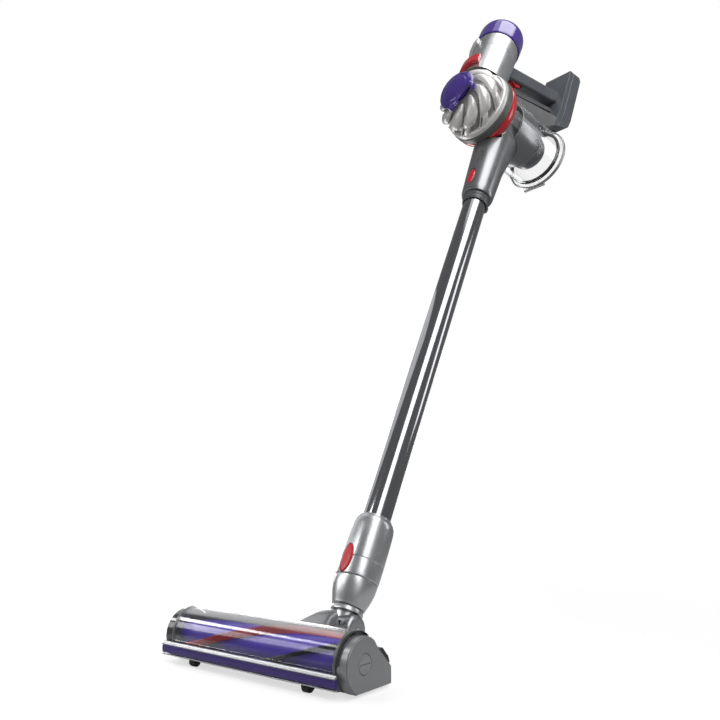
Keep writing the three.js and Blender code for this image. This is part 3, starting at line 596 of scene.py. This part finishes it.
# ------------------------------------------------------------------ floor head
CORE_R = 18
BRISTLE_R = 24.8
BRISTLE_REACH = 103  # half the length of a row
BRISTLE_TURN = math.radians(-170)  # along the whole row
TUFTS = 330


def make_brush():
    lo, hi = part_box("brush_core")
    half = (hi.x - lo.x) / 2 / MM
    core = lathe("brush_core_turned", [
        (13.2, -half + 1, 0.4), (CORE_R, -half + 1, 0.8), (CORE_R, half - 10, 0.8), (4.1, half - 10, 0.3),
        (4.1, half, 0.8), (1.5, half, 0.2), (1.5, -14, 0.2), (13.2, -14, 0.2),
    ], BRUSH, segments=FINER)
    finish(core, "brush", "purple_gloss", "purple_core", "brush_core")
    rows = [("bristle_red_1", 213, 6, BRISTLE_R - 0.6), ("bristle_red_2", 33, 6, BRISTLE_R - 0.6),
            ("bristle_black_1", 123, 3, BRISTLE_R), ("bristle_black_2", 303, 3, BRISTLE_R)]
    for name, phase, width, tip in rows:
        finish(bristle_row(f"{name}_fibres", math.radians(phase), width, tip),
               "brush", "red_nylon" if "red" in name else "black_fibre",
               "bristle_red" if "red" in name else "bristle_black", name)


def bristle_row(name, phase, width, tip):
    """Tufts of tapering fibres along a helix, on a low base strip."""
    rng = random.Random(name)
    points, faces = [], []

    def at(x, angle, r):
        return (x * MM + BRUSH_AT.x, BRUSH_AT.y + r * math.cos(angle) * MM,
                BRUSH_AT.z + r * math.sin(angle) * MM)

    across = 4 if width > 3 else 3
    for i in range(TUFTS):
        for k in range(across):
            t = (i + 0.5 + rng.uniform(-0.3, 0.3)) / TUFTS
            x = -BRISTLE_REACH + 2 * BRISTLE_REACH * t
            aside = ((k + 0.5) / across - 0.5) * width / CORE_R
            a = phase + BRISTLE_TURN * t + aside + rng.uniform(-0.012, 0.012)
            top = tip - rng.uniform(0, 0.9)
            lean, bend = rng.uniform(-0.5, 0.5), rng.uniform(-0.02, 0.02)
            base = len(points)
            for r, half, move, swing in ((CORE_R + 0.5, 0.42, 0, 0), (top, 0.14, lean, bend)):
                for dx, da in ((-half, -half), (half, -half), (half, half), (-half, half)):
                    points.append(at(x + dx + move, a + swing + da / r, r))
            faces += [(base + m, base + (m + 1) % 4, base + 4 + (m + 1) % 4, base + 4 + m) for m in range(4)]
            faces += [(base + 3, base + 2, base + 1, base), (base + 4, base + 5, base + 6, base + 7)]
    steps = 90
    base = len(points)
    for i in range(steps + 1):
        t = i / steps
        x, a = -BRISTLE_REACH + 2 * BRISTLE_REACH * t, phase + BRISTLE_TURN * t
        spread = width / 2 / CORE_R
        for r, da in ((CORE_R + 0.1, -spread), (CORE_R + 0.1, spread), (CORE_R + 2.6, spread * 0.8),
                      (CORE_R + 2.6, -spread * 0.8)):
            points.append(at(x, a + da, r))
    for i in range(steps):
        for k in range(4):
            p, q = base + 4 * i + k, base + 4 * i + (k + 1) % 4
            faces.append((p, q, q + 4, p + 4))
    faces += [(base, base + 1, base + 2, base + 3), tuple(base + 4 * steps + k for k in (3, 2, 1, 0))]
    mesh = bpy.data.meshes.new(name)
    mesh.from_pydata(points, [], faces)
    outward = bmesh.new()
    outward.from_mesh(mesh)
    bmesh.ops.recalc_face_normals(outward, faces=outward.faces)
    outward.to_mesh(mesh)
    outward.free()
    return link_object(name, mesh)


def make_window():
    """The clear half pipe over the brush, with a lip along its front."""
    lo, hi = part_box("brush_window")
    outer, inner = 28.0, 26.5
    back, front, steps = 58.6, 186, 44
    lip = [(-outer - 0.6, -3.6), (-outer + 1.4, -4.1)]
    outline = arc(0, 0, outer, back, front, steps) + lip + arc(0, 0, inner, front, back, steps)
    head = Matrix.Translation(Vector((0, BRUSH_AT.y, BRUSH_AT.z))) @ WORLD
    shell = prism("brush_window_clear", outline, lo.x / MM, hi.x / MM, head)
    finish(soften(shell, 0.5, 3), "head", "clear_plastic", "clear_window", "brush_window")


def make_head():
    finish(skin("head_chassis", 0.5), "head", "black_plastic", "dark_grey_plastic", "head_chassis")
    finish(skin("end_cap_right", 0.8, 4), "end_cap", "silver_grey_plastic", "cap_grey", "end_cap_right")
    finish(skin("end_cap_left", 0.9, 4), "head", "dark_grey_plastic", "smoke", "end_cap_left")
    finish(skin("coin_lock", 0.3), "coin_lock", "silver_grey_plastic", "cap_grey", "coin_lock")
    finish(skin("cap_clip", 0.6), "end_cap", "black_plastic", "black_plastic", "cap_clip")
    finish(skin("end_cap_seal", 0.25), "head", "seal_rubber", "rubber", "end_cap_seal")
    lo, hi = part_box("bumper")
    y, z0, z1 = hi.y / MM, lo.z / MM, hi.z / MM
    face = prism("bumper_face", [
        (y, z0, 0), (y, z1, 0), (y - 2.3, z1 - 0.2, 0.8), (y - 2.9, z1 - 2.6, 1.5), (y - 2.7, z0 + 2.2, 1.5),
        (y - 2.2, z0 + 0.2, 0.8),
    ], lo.x / MM, hi.x / MM, WORLD, radius=0.8)
    finish(soften(face, 0.4), "head", "purple_gloss", "purple_satin", "bumper")
    lo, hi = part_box("bumper_trim_top")
    y, z0, z1 = hi.y / MM, lo.z / MM, hi.z / MM
    top = prism("bumper_top_line", [
        (y, z0, 0), (y, z1, 0), (y - 1.6, z1 - 0.2, 0.8), (y - 2.1, z1 - 1.5, 0.3), (y - 3.3, z1 - 1.9, 0.6),
        (y - 3.6, z0 + 0.9, 0.5), (y - 3.5, z0, 0.2),
    ], lo.x / MM, hi.x / MM, WORLD, radius=0.5)
    finish(soften(top, 0.2), "head", "silver_paint", "silver", "bumper_trim_top")
    finish(skin("bumper_trim_bottom", 0.3), "head", "silver_paint", "silver", "bumper_trim_bottom")
    finish(skin("felt_strip", 0.5), "head", "felt", "felt", "felt_strip")
    for side in ("left", "right"):
        for kind in ("front_roller", "rear_wheel"):
            node = f"{kind}_{side}"
            finish(skin(node, 0.5), node, "roller_rubber", "rubber", node)
    for node in ("brush_bearing", "brush_motor"):
        keep(node, "steel")
    make_window()
    make_brush()


# ------------------------------------------------------------------ handheld
CYCLONE_R = 58
BIN_R = 51.5
BIN_FROM, BIN_TO = 31, 162.5
MOTOR_R = 37
MOTOR_TOP = 92
SWELL = [(745, 0), (800, 0.35), (838, 0.6), (856, 0.5), (880, 0.2), (901, 0)]  # duct: height, swelling behind


def between(table, at):
    """A value from a table of (position, value), straight between its rows."""
    if at <= table[0][0]:
        return table[0][1]
    for (z0, v0), (z1, v1) in zip(table, table[1:]):
        if at <= z1:
            return v0 + (v1 - v0) * (at - z0) / (z1 - z0)
    return table[-1][1]


def eased(table, at):
    """As between(), over a small span, so that no crease shows."""
    return sum(between(table, at + step) for step in (-9, -6, -3, 0, 3, 6, 9)) / 7


def duct_shape(name, grow=0.0, segments=FINER):
    """The duct's outside, grown by a clearance when it is a tool."""
    duct = lathe(name, [
        (0, 681), (23.4 + grow, 681, 0.6), (25 + grow, 686, 3), (27.2 + grow, 730, 20), (28.4 + grow, 762, 12),
        (30 + grow, 800, 16), (31 + grow, 838, 9), (30.8 + grow, 856, 9), (29.6 + grow, 878, 7),
        (26 + grow, 890, 5), (15 + grow, 899 + grow, 4), (0, 901 + grow),
    ], ALONG, radius=2, segments=segments)
    inverse = ALONG.inverted()
    for vertex in duct.data.vertices:
        local = inverse @ vertex.co
        if local.y > 0:
            local.y *= 1 + eased(SWELL, local.z)
            vertex.co = ALONG @ local
    return duct


def clear_of_duct():
    return duct_shape("duct_clear", 0.4, 72)


def make_duct():
    duct = duct_shape("inlet_duct_shell")
    cut(duct,
        lathe("bore", [(0, 670), (18.1, 670), (18.1, 716), (17.4, 717), (19, 838), (0, 838)], ALONG, 0.2, 72),
        lathe("cyclone_zone", [
            (0, -90), (CYCLONE_R + 0.5, -90), (CYCLONE_R + 0.5, BIN_FROM - 0.2), (0, BIN_FROM - 0.2),
        ], CYCLONE, 0.2, FINER),
        oval_tool("duct_hole", 7.4, 15.9, -60, -19, DUCT_BUTTON_Z))
    finish(smooth(duct), "handheld", "silver_paint", "silver_dark", "inlet_duct")
    finish(push_button("duct_button_face", 7, 15.5, DUCT_BUTTON_Z, 27.6, 23),
           "duct_button", "red_gloss", "red", "duct_button")


DOME_DROP = 0.1  # the dome leans down by this much of its depth
DOME_SWEEP = 86  # degrees from the dome's front to the ring
DOME_FRONT_R, DOME_WIDENING = 24, 30.2
DOME_FRONT_Z, DOME_DEPTH = -52.5, 48
HORNS = 9
HORN_TWIST = math.radians(62)


def dome_radius(t):
    """The dome's radius; t runs from its front to the ring."""
    return DOME_FRONT_R + DOME_WIDENING * math.sin(math.radians(DOME_SWEEP * t)) ** 0.8


def dome_point(angle, t, lift):
    """A point on the dome, lifted outwards by so many millimetres."""
    sweep = math.radians(DOME_SWEEP * t)
    r = dome_radius(t) + lift * math.sin(sweep)
    z = DOME_FRONT_Z + DOME_DEPTH * (1 - math.cos(sweep)) ** 0.95 - lift * math.cos(sweep)
    return (r * math.cos(angle), r * math.sin(angle) - DOME_DROP * z, z)


def horn(start, t0, t1, wide, tall, sink, steps=26, lean=0.0):
    """A rounded, tapering horn on the dome. `wide` and `tall` are tables from its front end to its back end."""
    rings = []
    for i in range(steps + 1):
        s = i / steps
        t = t0 + (t1 - t0) * s
        half = between(wide, s) / 2
        rise = between(tall, s)
        radius = dome_radius(t)
        middle = start + HORN_TWIST * t ** 1.15
        ring = []
        for k in range(16):
            a = math.pi * k / 15
            across, height = -math.cos(a), math.sin(a) ** 0.8
            lift = sink + rise * height * (1 + lean * across)
            ring.append(dome_point(middle + across * half / radius, t, lift))
        rings.append(ring + [dome_point(middle + 0.6 * half / radius, t, sink - 1.4),
                             dome_point(middle - 0.6 * half / radius, t, sink - 1.4)])
    return smooth(loft("horn", rings, CYCLONE), 45)


def make_dome():
    floor = lathe("dome_floor", [
        (19.7, -49, 0.3), (26, -48.4, 0.6), (38, -43.6, 4), (45, -35.5, 4), (48.5, -26, 4), (50, -12, 4),
        (50.4, 0, 0.2), (46, 0, 0.3), (42, -28, 4), (19.7, -42, 0.3),
    ], CYCLONE)
    finish(floor, "handheld", "silver_paint", "dome_shadow")
    parts = []
    for k in range(HORNS):
        start = TAU * k / HORNS
        parts += [
            horn(start, 0.02, 0.8, [(0, 9), (0.25, 16), (0.75, 31), (1, 27)],
                 [(0, 2.4), (0.4, 6.2), (0.85, 8), (1, 4.4)], -4.6, lean=-0.3),
            horn(start + 0.06, 0.78, 1.0, [(0, 13), (1, 15)], [(0, 3.4), (0.3, 4.8), (1, 4.2)], -3.4, steps=8),
            horn(start + 0.27, 0.46, 1.0, [(0, 1.6), (0.4, 2.6), (1, 3)],
                 [(0, 2.0), (0.5, 3.6), (1, 4)], -3.2, steps=16),
        ]
    finish(join("cyclone_horns", parts), "handheld", "silver_paint", "dome_silver", "cyclone_body")
    hoop = lathe("dome_hoop", [
        (49, -9.4, 0.3), (55, -9.4, 0.9), (56.8, -7, 1.4), (57.2, -0.2, 0.4), (49, -0.2, 0.3),
    ], CYCLONE, segments=FINEST)
    finish(hoop, "handheld", "silver_paint", "dome_silver")


PLATE_DROP = 4  # the plate sits this far below the dome's axis
FINGERS = (2, 94)  # degrees round the plate


def make_pre_filter():
    """A scooped plate over the dome's middle, with fingers that end in bulbs."""
    drop = CYCLONE @ Matrix.Translation((0, PLATE_DROP, 0))
    plate = lathe("pre_filter_plate", [
        (0, -67.6), (13, -67, 6), (22, -64.6, 4), (24.5, -62.6, 1), (26.5, -63.2, 1), (30.5, -61, 3),
        (33.4, -58, 2), (32.6, -56.6, 0.6), (0, -56.6),
    ], drop)
    cut(plate, lathe("scoop", [(0, -90), (24, -90), (24, -50), (0, -50)],
                     CYCLONE @ Matrix.Translation((29, 33, 0)), 0.2, 96))
    stem = lathe("pre_filter_stem", [(0, -60), (17, -60, 0.5), (17, -2, 1), (0, -2)], CYCLONE)
    parts = [smooth(plate), stem] + [plate_finger(math.radians(degrees)) for degrees in FINGERS]
    finish(join("pre_filter_moulding", parts), "pre_filter", "purple_gloss", "purple", "pre_filter")


def plate_finger(middle):
    """A finger that starts at the plate's rim and swells into a bulb near its end."""
    rings = []
    for s in range(11):
        t = s / 10
        r = 27 + 8.5 * t
        z = -60 + 5.6 * t * t
        bulb = 1.0 if t < 0.6 else 1 + 0.7 * math.sin((t - 0.6) / 0.4 * math.pi)
        half, rise = (3.9 * bulb * (0.55 if t == 1 else 1)) / r, 2.9 * bulb * (0.4 if t == 1 else 1)
        ring = []
        for k in range(12):
            a = TAU * k / 12
            angle = middle + 0.22 * t + half * math.cos(a)
            ring.append((r * math.cos(angle), r * math.sin(angle) + PLATE_DROP, z + rise * math.sin(a)))
        rings.append(ring)
    return smooth(loft("finger", rings, CYCLONE), 60)


def make_cyclone():
    make_dome()
    make_pre_filter()
    ring = lathe("cyclone_ring_band", [
        (46, 0.3, 0.2), (56.4, 0.3, 0.6), (57.6, 1.4, 0.6), (58, 2.4, 0.4), (58, 12, 0.5), (57.2, 13.4, 0.6),
        (56, 14, 0.3), (46, 14, 0.2),
    ], CYCLONE, radius=0.5, segments=FINEST)
    finish(ring, "handheld", "dark_grey_plastic", "ring_grey", "cyclone_ring")
    carriage = lathe("bin_carriage_ring", [
        (46, 14.3, 0.2), (56.6, 14.3, 0.4), (57.6, 17, 0.8), (57, 22, 0.6), (55.6, 26, 0.8), (53, 30.6, 0.5),
        (46, 30.6, 0.2),
    ], CYCLONE, radius=0.5, segments=FINER)
    cut(carriage, clear_of_duct())
    finish(smooth(carriage), "handheld", "red_gloss", "red", "bin_carriage")


def make_bin():
    parts = [lathe("bin_wall", [
        (BIN_R - 2, BIN_FROM, 0.3), (BIN_R, BIN_FROM, 0.4), (BIN_R, BIN_TO - 9, 0.2),
        (BIN_R + 2, BIN_TO - 7.5, 0.8), (BIN_R + 2, BIN_TO, 0.5), (BIN_R - 2, BIN_TO, 0.3),
    ], CYCLONE, radius=0.4, segments=FINER)]
    hinge_y, hinge_s = BIN_HINGE
    for side in (-15, 15):
        lug = prism("lug", [
            (BIN_R - 1.2, hinge_s - 13, 1), (BIN_R + 3, hinge_s - 12, 2), (hinge_y + 3, hinge_s - 3, 2),
            (hinge_y + 3, hinge_s + 3, 2), (BIN_R + 4.4, hinge_s + 3, 1), (BIN_R + 4.4, hinge_s - 2.4, 0.3),
            (BIN_R - 1.2, hinge_s - 2.4, 0.3),
        ], side - 4, side + 4, CYCLONE, radius=1)
        parts.append(soften(lug, 0.4))
    wall = join("bin_shell", parts)
    cut(wall, clear_of_duct())
    finish(smooth(wall), "handheld", "clear_plastic", "clear_bin", "bin")
    start = BIN_TO + 0.4
    lid = lathe("bin_base_disc", [
        (0, start + 3.4), (BIN_R - 11, start + 3.4, 3), (BIN_R - 6, start, 2), (BIN_R + 3, start, 0.4),
        (BIN_R + 3.8, start + 2, 0.8), (BIN_R + 3.8, start + 6, 0.8), (BIN_R + 1.6, start + 8, 0.8),
        (BIN_R - 5, start + 8, 1), (BIN_R - 9, start + 5.6, 2), (0, start + 5.6),
    ], CYCLONE, radius=0.6, segments=FINER)
    knuckle = prism("knuckle", [
        (BIN_R - 1, start + 0.6, 1), (BIN_R + 1.4, start + 5.4, 1), (hinge_y + 2, hinge_s + 3.6, 2),
        (hinge_y + 3.6, hinge_s, 2), (hinge_y, hinge_s - 3.2, 2), (BIN_R + 3.9, start + 0.6, 0.5),
    ], -10.2, 10.2, CYCLONE, radius=1)
    finish(join("bin_base_clear", [lid, soften(knuckle, 0.4)]),
           "bin_base", "clear_plastic", "clear_bin", "bin_base")
    band = lathe("bin_base_band", [
        (BIN_R + 2, start + 1.4, 0.2), (BIN_R + 4, start + 1.4, 0.5), (BIN_R + 4.6, start + 3.8, 0.8),
        (BIN_R + 4, start + 6.2, 0.5), (BIN_R + 2, start + 6.2, 0.2),
    ], CYCLONE, radius=0.4, segments=FINEST)
    finish(band, "bin_base", "silver_paint", "steel")
    rim = lathe("bin_seal_ring", [
        (BIN_R - 6.6, BIN_TO - 5, 0.6), (BIN_R - 2.3, BIN_TO - 5, 0.6), (BIN_R - 2.3, BIN_TO - 0.2, 0.5),
        (BIN_R - 6.6, BIN_TO - 0.2, 0.5),
    ], CYCLONE, segments=FINER)
    finish(rim, "handheld", "seal_rubber", "rubber", "bin_seal")
    keep("bin_hinge_pin", "steel")
    finish(skin("bin_latch", 0.6), "bin_latch", "black_plastic", "black_plastic", "bin_latch")
    cone = lathe("shroud_cone", [
        (43.4, 60, 0.3), (45.4, 60, 0.8), (45.4, 100, 8), (43, 116, 5), (38, 123, 3), (33, 126, 2),
        (31.5, 139, 8), (28, 149.5, 6), (20, 155.5, 6), (0, 158),
        (0, 155.6), (18, 153.4, 4), (26, 147.6, 4), (29.2, 138, 4),
        (30.8, 124.6, 2), (36.8, 121, 2), (41, 115, 3), (43.4, 99, 3),
    ], CYCLONE, radius=1, segments=FINER)
    cut(cone, clear_of_duct())
    finish(smooth(cone), "handheld", "dark_grey_plastic", "silver_dark", "shroud")


def make_motor():
    housing = lathe("motor_can", [
        (MOTOR_R - 3, -14, 0.2), (MOTOR_R, -14, 0.2), (MOTOR_R, 58, 0.2), (MOTOR_R - 0.35, 58.3, 0.1),
        (MOTOR_R - 0.35, 58.8, 0.1), (MOTOR_R, 59.1, 0.2), (MOTOR_R, MOTOR_TOP - 1.4, 1),
        (MOTOR_R - 1.4, MOTOR_TOP, 0.8), (MOTOR_R - 3, MOTOR_TOP, 0.3),
    ], MOTOR, radius=0.4, segments=FINER)
    floor = lathe("motor_floor", [(8, 12), (MOTOR_R - 2, 12), (MOTOR_R - 2, 15), (8, 15)], MOTOR, 0.5, 64)
    shell = join("motor_housing_shell", [housing, floor])
    cut(shell,
        lathe("cyclone_clear", [
            (0, -90), (CYCLONE_R + 0.5, -90), (CYCLONE_R + 0.5, BIN_FROM), (0, BIN_FROM),
        ], CYCLONE, 0.2, FINER),
        lathe("bin_clear", [
            (0, BIN_FROM - 2), (BIN_R + 0.6, BIN_FROM - 2), (BIN_R + 0.6, BIN_TO), (0, BIN_TO),
        ], CYCLONE, 0.2, FINER))
    finish(smooth(shell), "handheld", "silver_paint", "silver", "motor_housing")
    top = MOTOR_TOP
    cap = lathe("filter_cap_shell", [
        (35.6, top + 0.3, 0.3), (38.2, top + 0.3, 0.5), (38.7, top + 3, 1), (38.8, top + 33, 7),
        (36.8, top + 41, 5), (30, top + 48, 5), (24, top + 50, 4), (0, top + 50.8), (0, top + 48),
        (23, top + 47.4, 3), (28.6, top + 45.6, 3), (34, top + 40, 3), (35.6, top + 33, 3),
    ], MOTOR, radius=1, segments=FINER)
    finish(cap, "filter_cap", "purple_gloss", "purple", "post_filter_cap")
    finish(pleated_filter(), "filter_cap", "filter_felt", "filter", "post_filter")
    keep("motor", "black_plastic")
    keep("impeller", "steel")
    finish(skin("release_lever", 1.0, 4), "release_lever", "red_gloss", "red", "release_lever")
    finish(skin("mode_switch", 0.5, 3), "mode_switch", "silver_paint", "dome_silver", "mode_switch")


def pleated_filter():
    """A ring of pleats under the cap."""
    low, high, inner, outer, pleats = MOTOR_TOP + 3, MOTOR_TOP + 32, 18, 33, 44
    outline = []
    for i in range(pleats * 2):
        r = outer if i % 2 else outer - 5
        outline.append((r * math.cos(TAU * i / pleats / 2), r * math.sin(TAU * i / pleats / 2)))
    drum = prism("post_filter_pleats", outline, low, high, MOTOR, axes="xy")
    return cut(drum, lathe("hollow", [
        (0, low - 5), (inner, low - 5), (inner, high + 5), (0, high + 5),
    ], MOTOR, 0.1, 48))


def make_handle():
    for side in ("right", "left"):
        node = f"handle_{side}"
        finish(skin(node, 0.25), "handheld", "blue_grey_plastic", "blue_grey_plastic", node)
    finish(skin("handle_base", 0.6, 3), "handheld", "blue_grey_plastic", "blue_grey_plastic", "handle_base")
    finish(skin("battery_pack", 1.4, 5), "handheld", "blue_grey_plastic", "blue_grey_plastic", "battery_pack")
    finish(skin("bridge", 0.8, 4), "handheld", "dark_grey_plastic", "mid_grey_plastic", "bridge")
    finish(skin("finger_guard", 1.0, 4), "handheld", "black_plastic", "dark_grey_plastic", "finger_guard")
    finish(skin("trigger", 1.4, 4), "trigger", "red_gloss", "red", "trigger")


make_wand()
make_neck()
make_head()
make_duct()
make_cyclone()
make_bin()
make_motor()
make_handle()


# ------------------------------------------------------------------ studio
FLOOR_AT = Vector((0, 0.06, 0))
FLOOR_R = 2.4
FLOOR_ALPHA = 0.4  # see-through enough to show a head that a pose sinks
FLOOR_FADE = (0.22, 0.75)  # metres from the middle: where it starts to fade, and where it is gone
CAMERA_AT = (0.5677, -0.6031, 0.1979)
CAMERA_TURN = (98.3, 0, 37.9)  # degrees
LENS_MM = 38.63


def make_floor():
    """A pale floor that fades into the white around it."""
    bpy.ops.mesh.primitive_circle_add(vertices=96, radius=FLOOR_R, fill_type="NGON", location=FLOOR_AT)
    floor = bpy.context.object
    floor.name = "studio_floor"
    look = Look("studio_floor", (0.93, 0.93, 0.93), 0.6)
    distance = look.node("ShaderNodeVectorMath", operation="LENGTH")
    look.link(look.coordinates.outputs["Object"], distance.inputs[0])
    look.link(look.ramp(distance.outputs["Value"], FLOOR_ALPHA, 0, *FLOOR_FADE), look.shader.inputs["Alpha"])
    look.link(look.colours(look.noise(30), (0.92, 0.92, 0.92), (0.95, 0.95, 0.95)),
              look.shader.inputs["Base Color"])
    look.set("Emission Color", (1, 1, 1, 1))
    look.set("Emission Strength", 0.15)
    floor.data.materials.append(look.material)


def add_light(name, position, target, along, width, length, radiance):
    """A rectangular lamp whose long side follows `along`."""
    data = bpy.data.lights.new(name, "AREA")
    data.shape = "RECTANGLE"
    data.size, data.size_y = width, length
    data.energy = radiance * math.pi * width * length
    lamp = link_object(name, data)
    z = (Vector(position) - Vector(target)).normalized()
    x = Vector(along).cross(z).normalized()
    lamp.matrix_world = Matrix((x, z.cross(x), z)).transposed().to_4x4()
    lamp.location = position
    lamp.visible_camera = False


def make_world():
    """White behind the object, and a dim grey light from all round."""
    world = bpy.data.worlds.new("studio")
    bpy.context.scene.world = world
    world.use_nodes = True
    tree = world.node_tree
    back = tree.nodes["Background"]
    seen = tree.nodes.new("ShaderNodeLightPath")
    mix = tree.nodes.new("ShaderNodeMix")
    mix.data_type = "RGBA"
    mix.inputs[MIX_A].default_value = (0.2, 0.2, 0.205, 1)
    mix.inputs[MIX_B].default_value = (1, 1, 1, 1)
    tree.links.new(seen.outputs["Is Camera Ray"], mix.inputs[MIX_FACTOR])
    tree.links.new(mix.outputs[MIX_RESULT], back.inputs["Color"])


def make_camera():
    data = bpy.data.cameras.new("camera")
    data.sensor_width = 36
    data.lens = LENS_MM
    data.clip_start = 0.02
    camera = link_object("camera", data)
    camera.location = CAMERA_AT
    camera.rotation_euler = tuple(math.radians(angle) for angle in CAMERA_TURN)
    bpy.context.scene.camera = camera


make_floor()
make_world()
make_camera()
bpy.context.scene.view_settings.view_transform = "Standard"
# name, position, target, direction of the long side, width, length, radiance
add_light("long_key", (0.62, 0.05, 1.3), (0.02, 0.2, 0.5), (-0.1, 0.65, 0.75), 0.62, 1.9, 3.4)
add_light("window_strip", (-0.38, -0.24, 0.42), (0, -0.02, 0.04), (1, 0, 0), 0.075, 0.6, 8)
add_light("window_glow", (-1.0, -0.9, 0.66), (0, 0, 0.03), (1, 0, 0), 0.4, 1.4, 2.6)
add_light("back_left", (-1.0, 1.1, 0.3), (0, 0, 0.05), (1, 1, 0), 0.5, 1.3, 3.2)
add_light("window_top", (-0.42, 0.2, 0.45), (0, 0, 0.05), (1, 0, 0), 0.36, 0.6, 0.8)
add_light("back_right", (1.1, 1.2, 0.85), (0, 0.6, 0.85), (0, 0, 1), 0.35, 0.9, 2.5)
add_light("front_fill", (1.3, -0.6, 0.7), (0, 0.2, 0.3), (0, 0, 1), 0.7, 0.9, 1.2)
add_light("overhead", (0.3, 0.5, 2.0), (0, 0.2, 0), (1, 0, 0), 1.0, 1.0, 1.0)
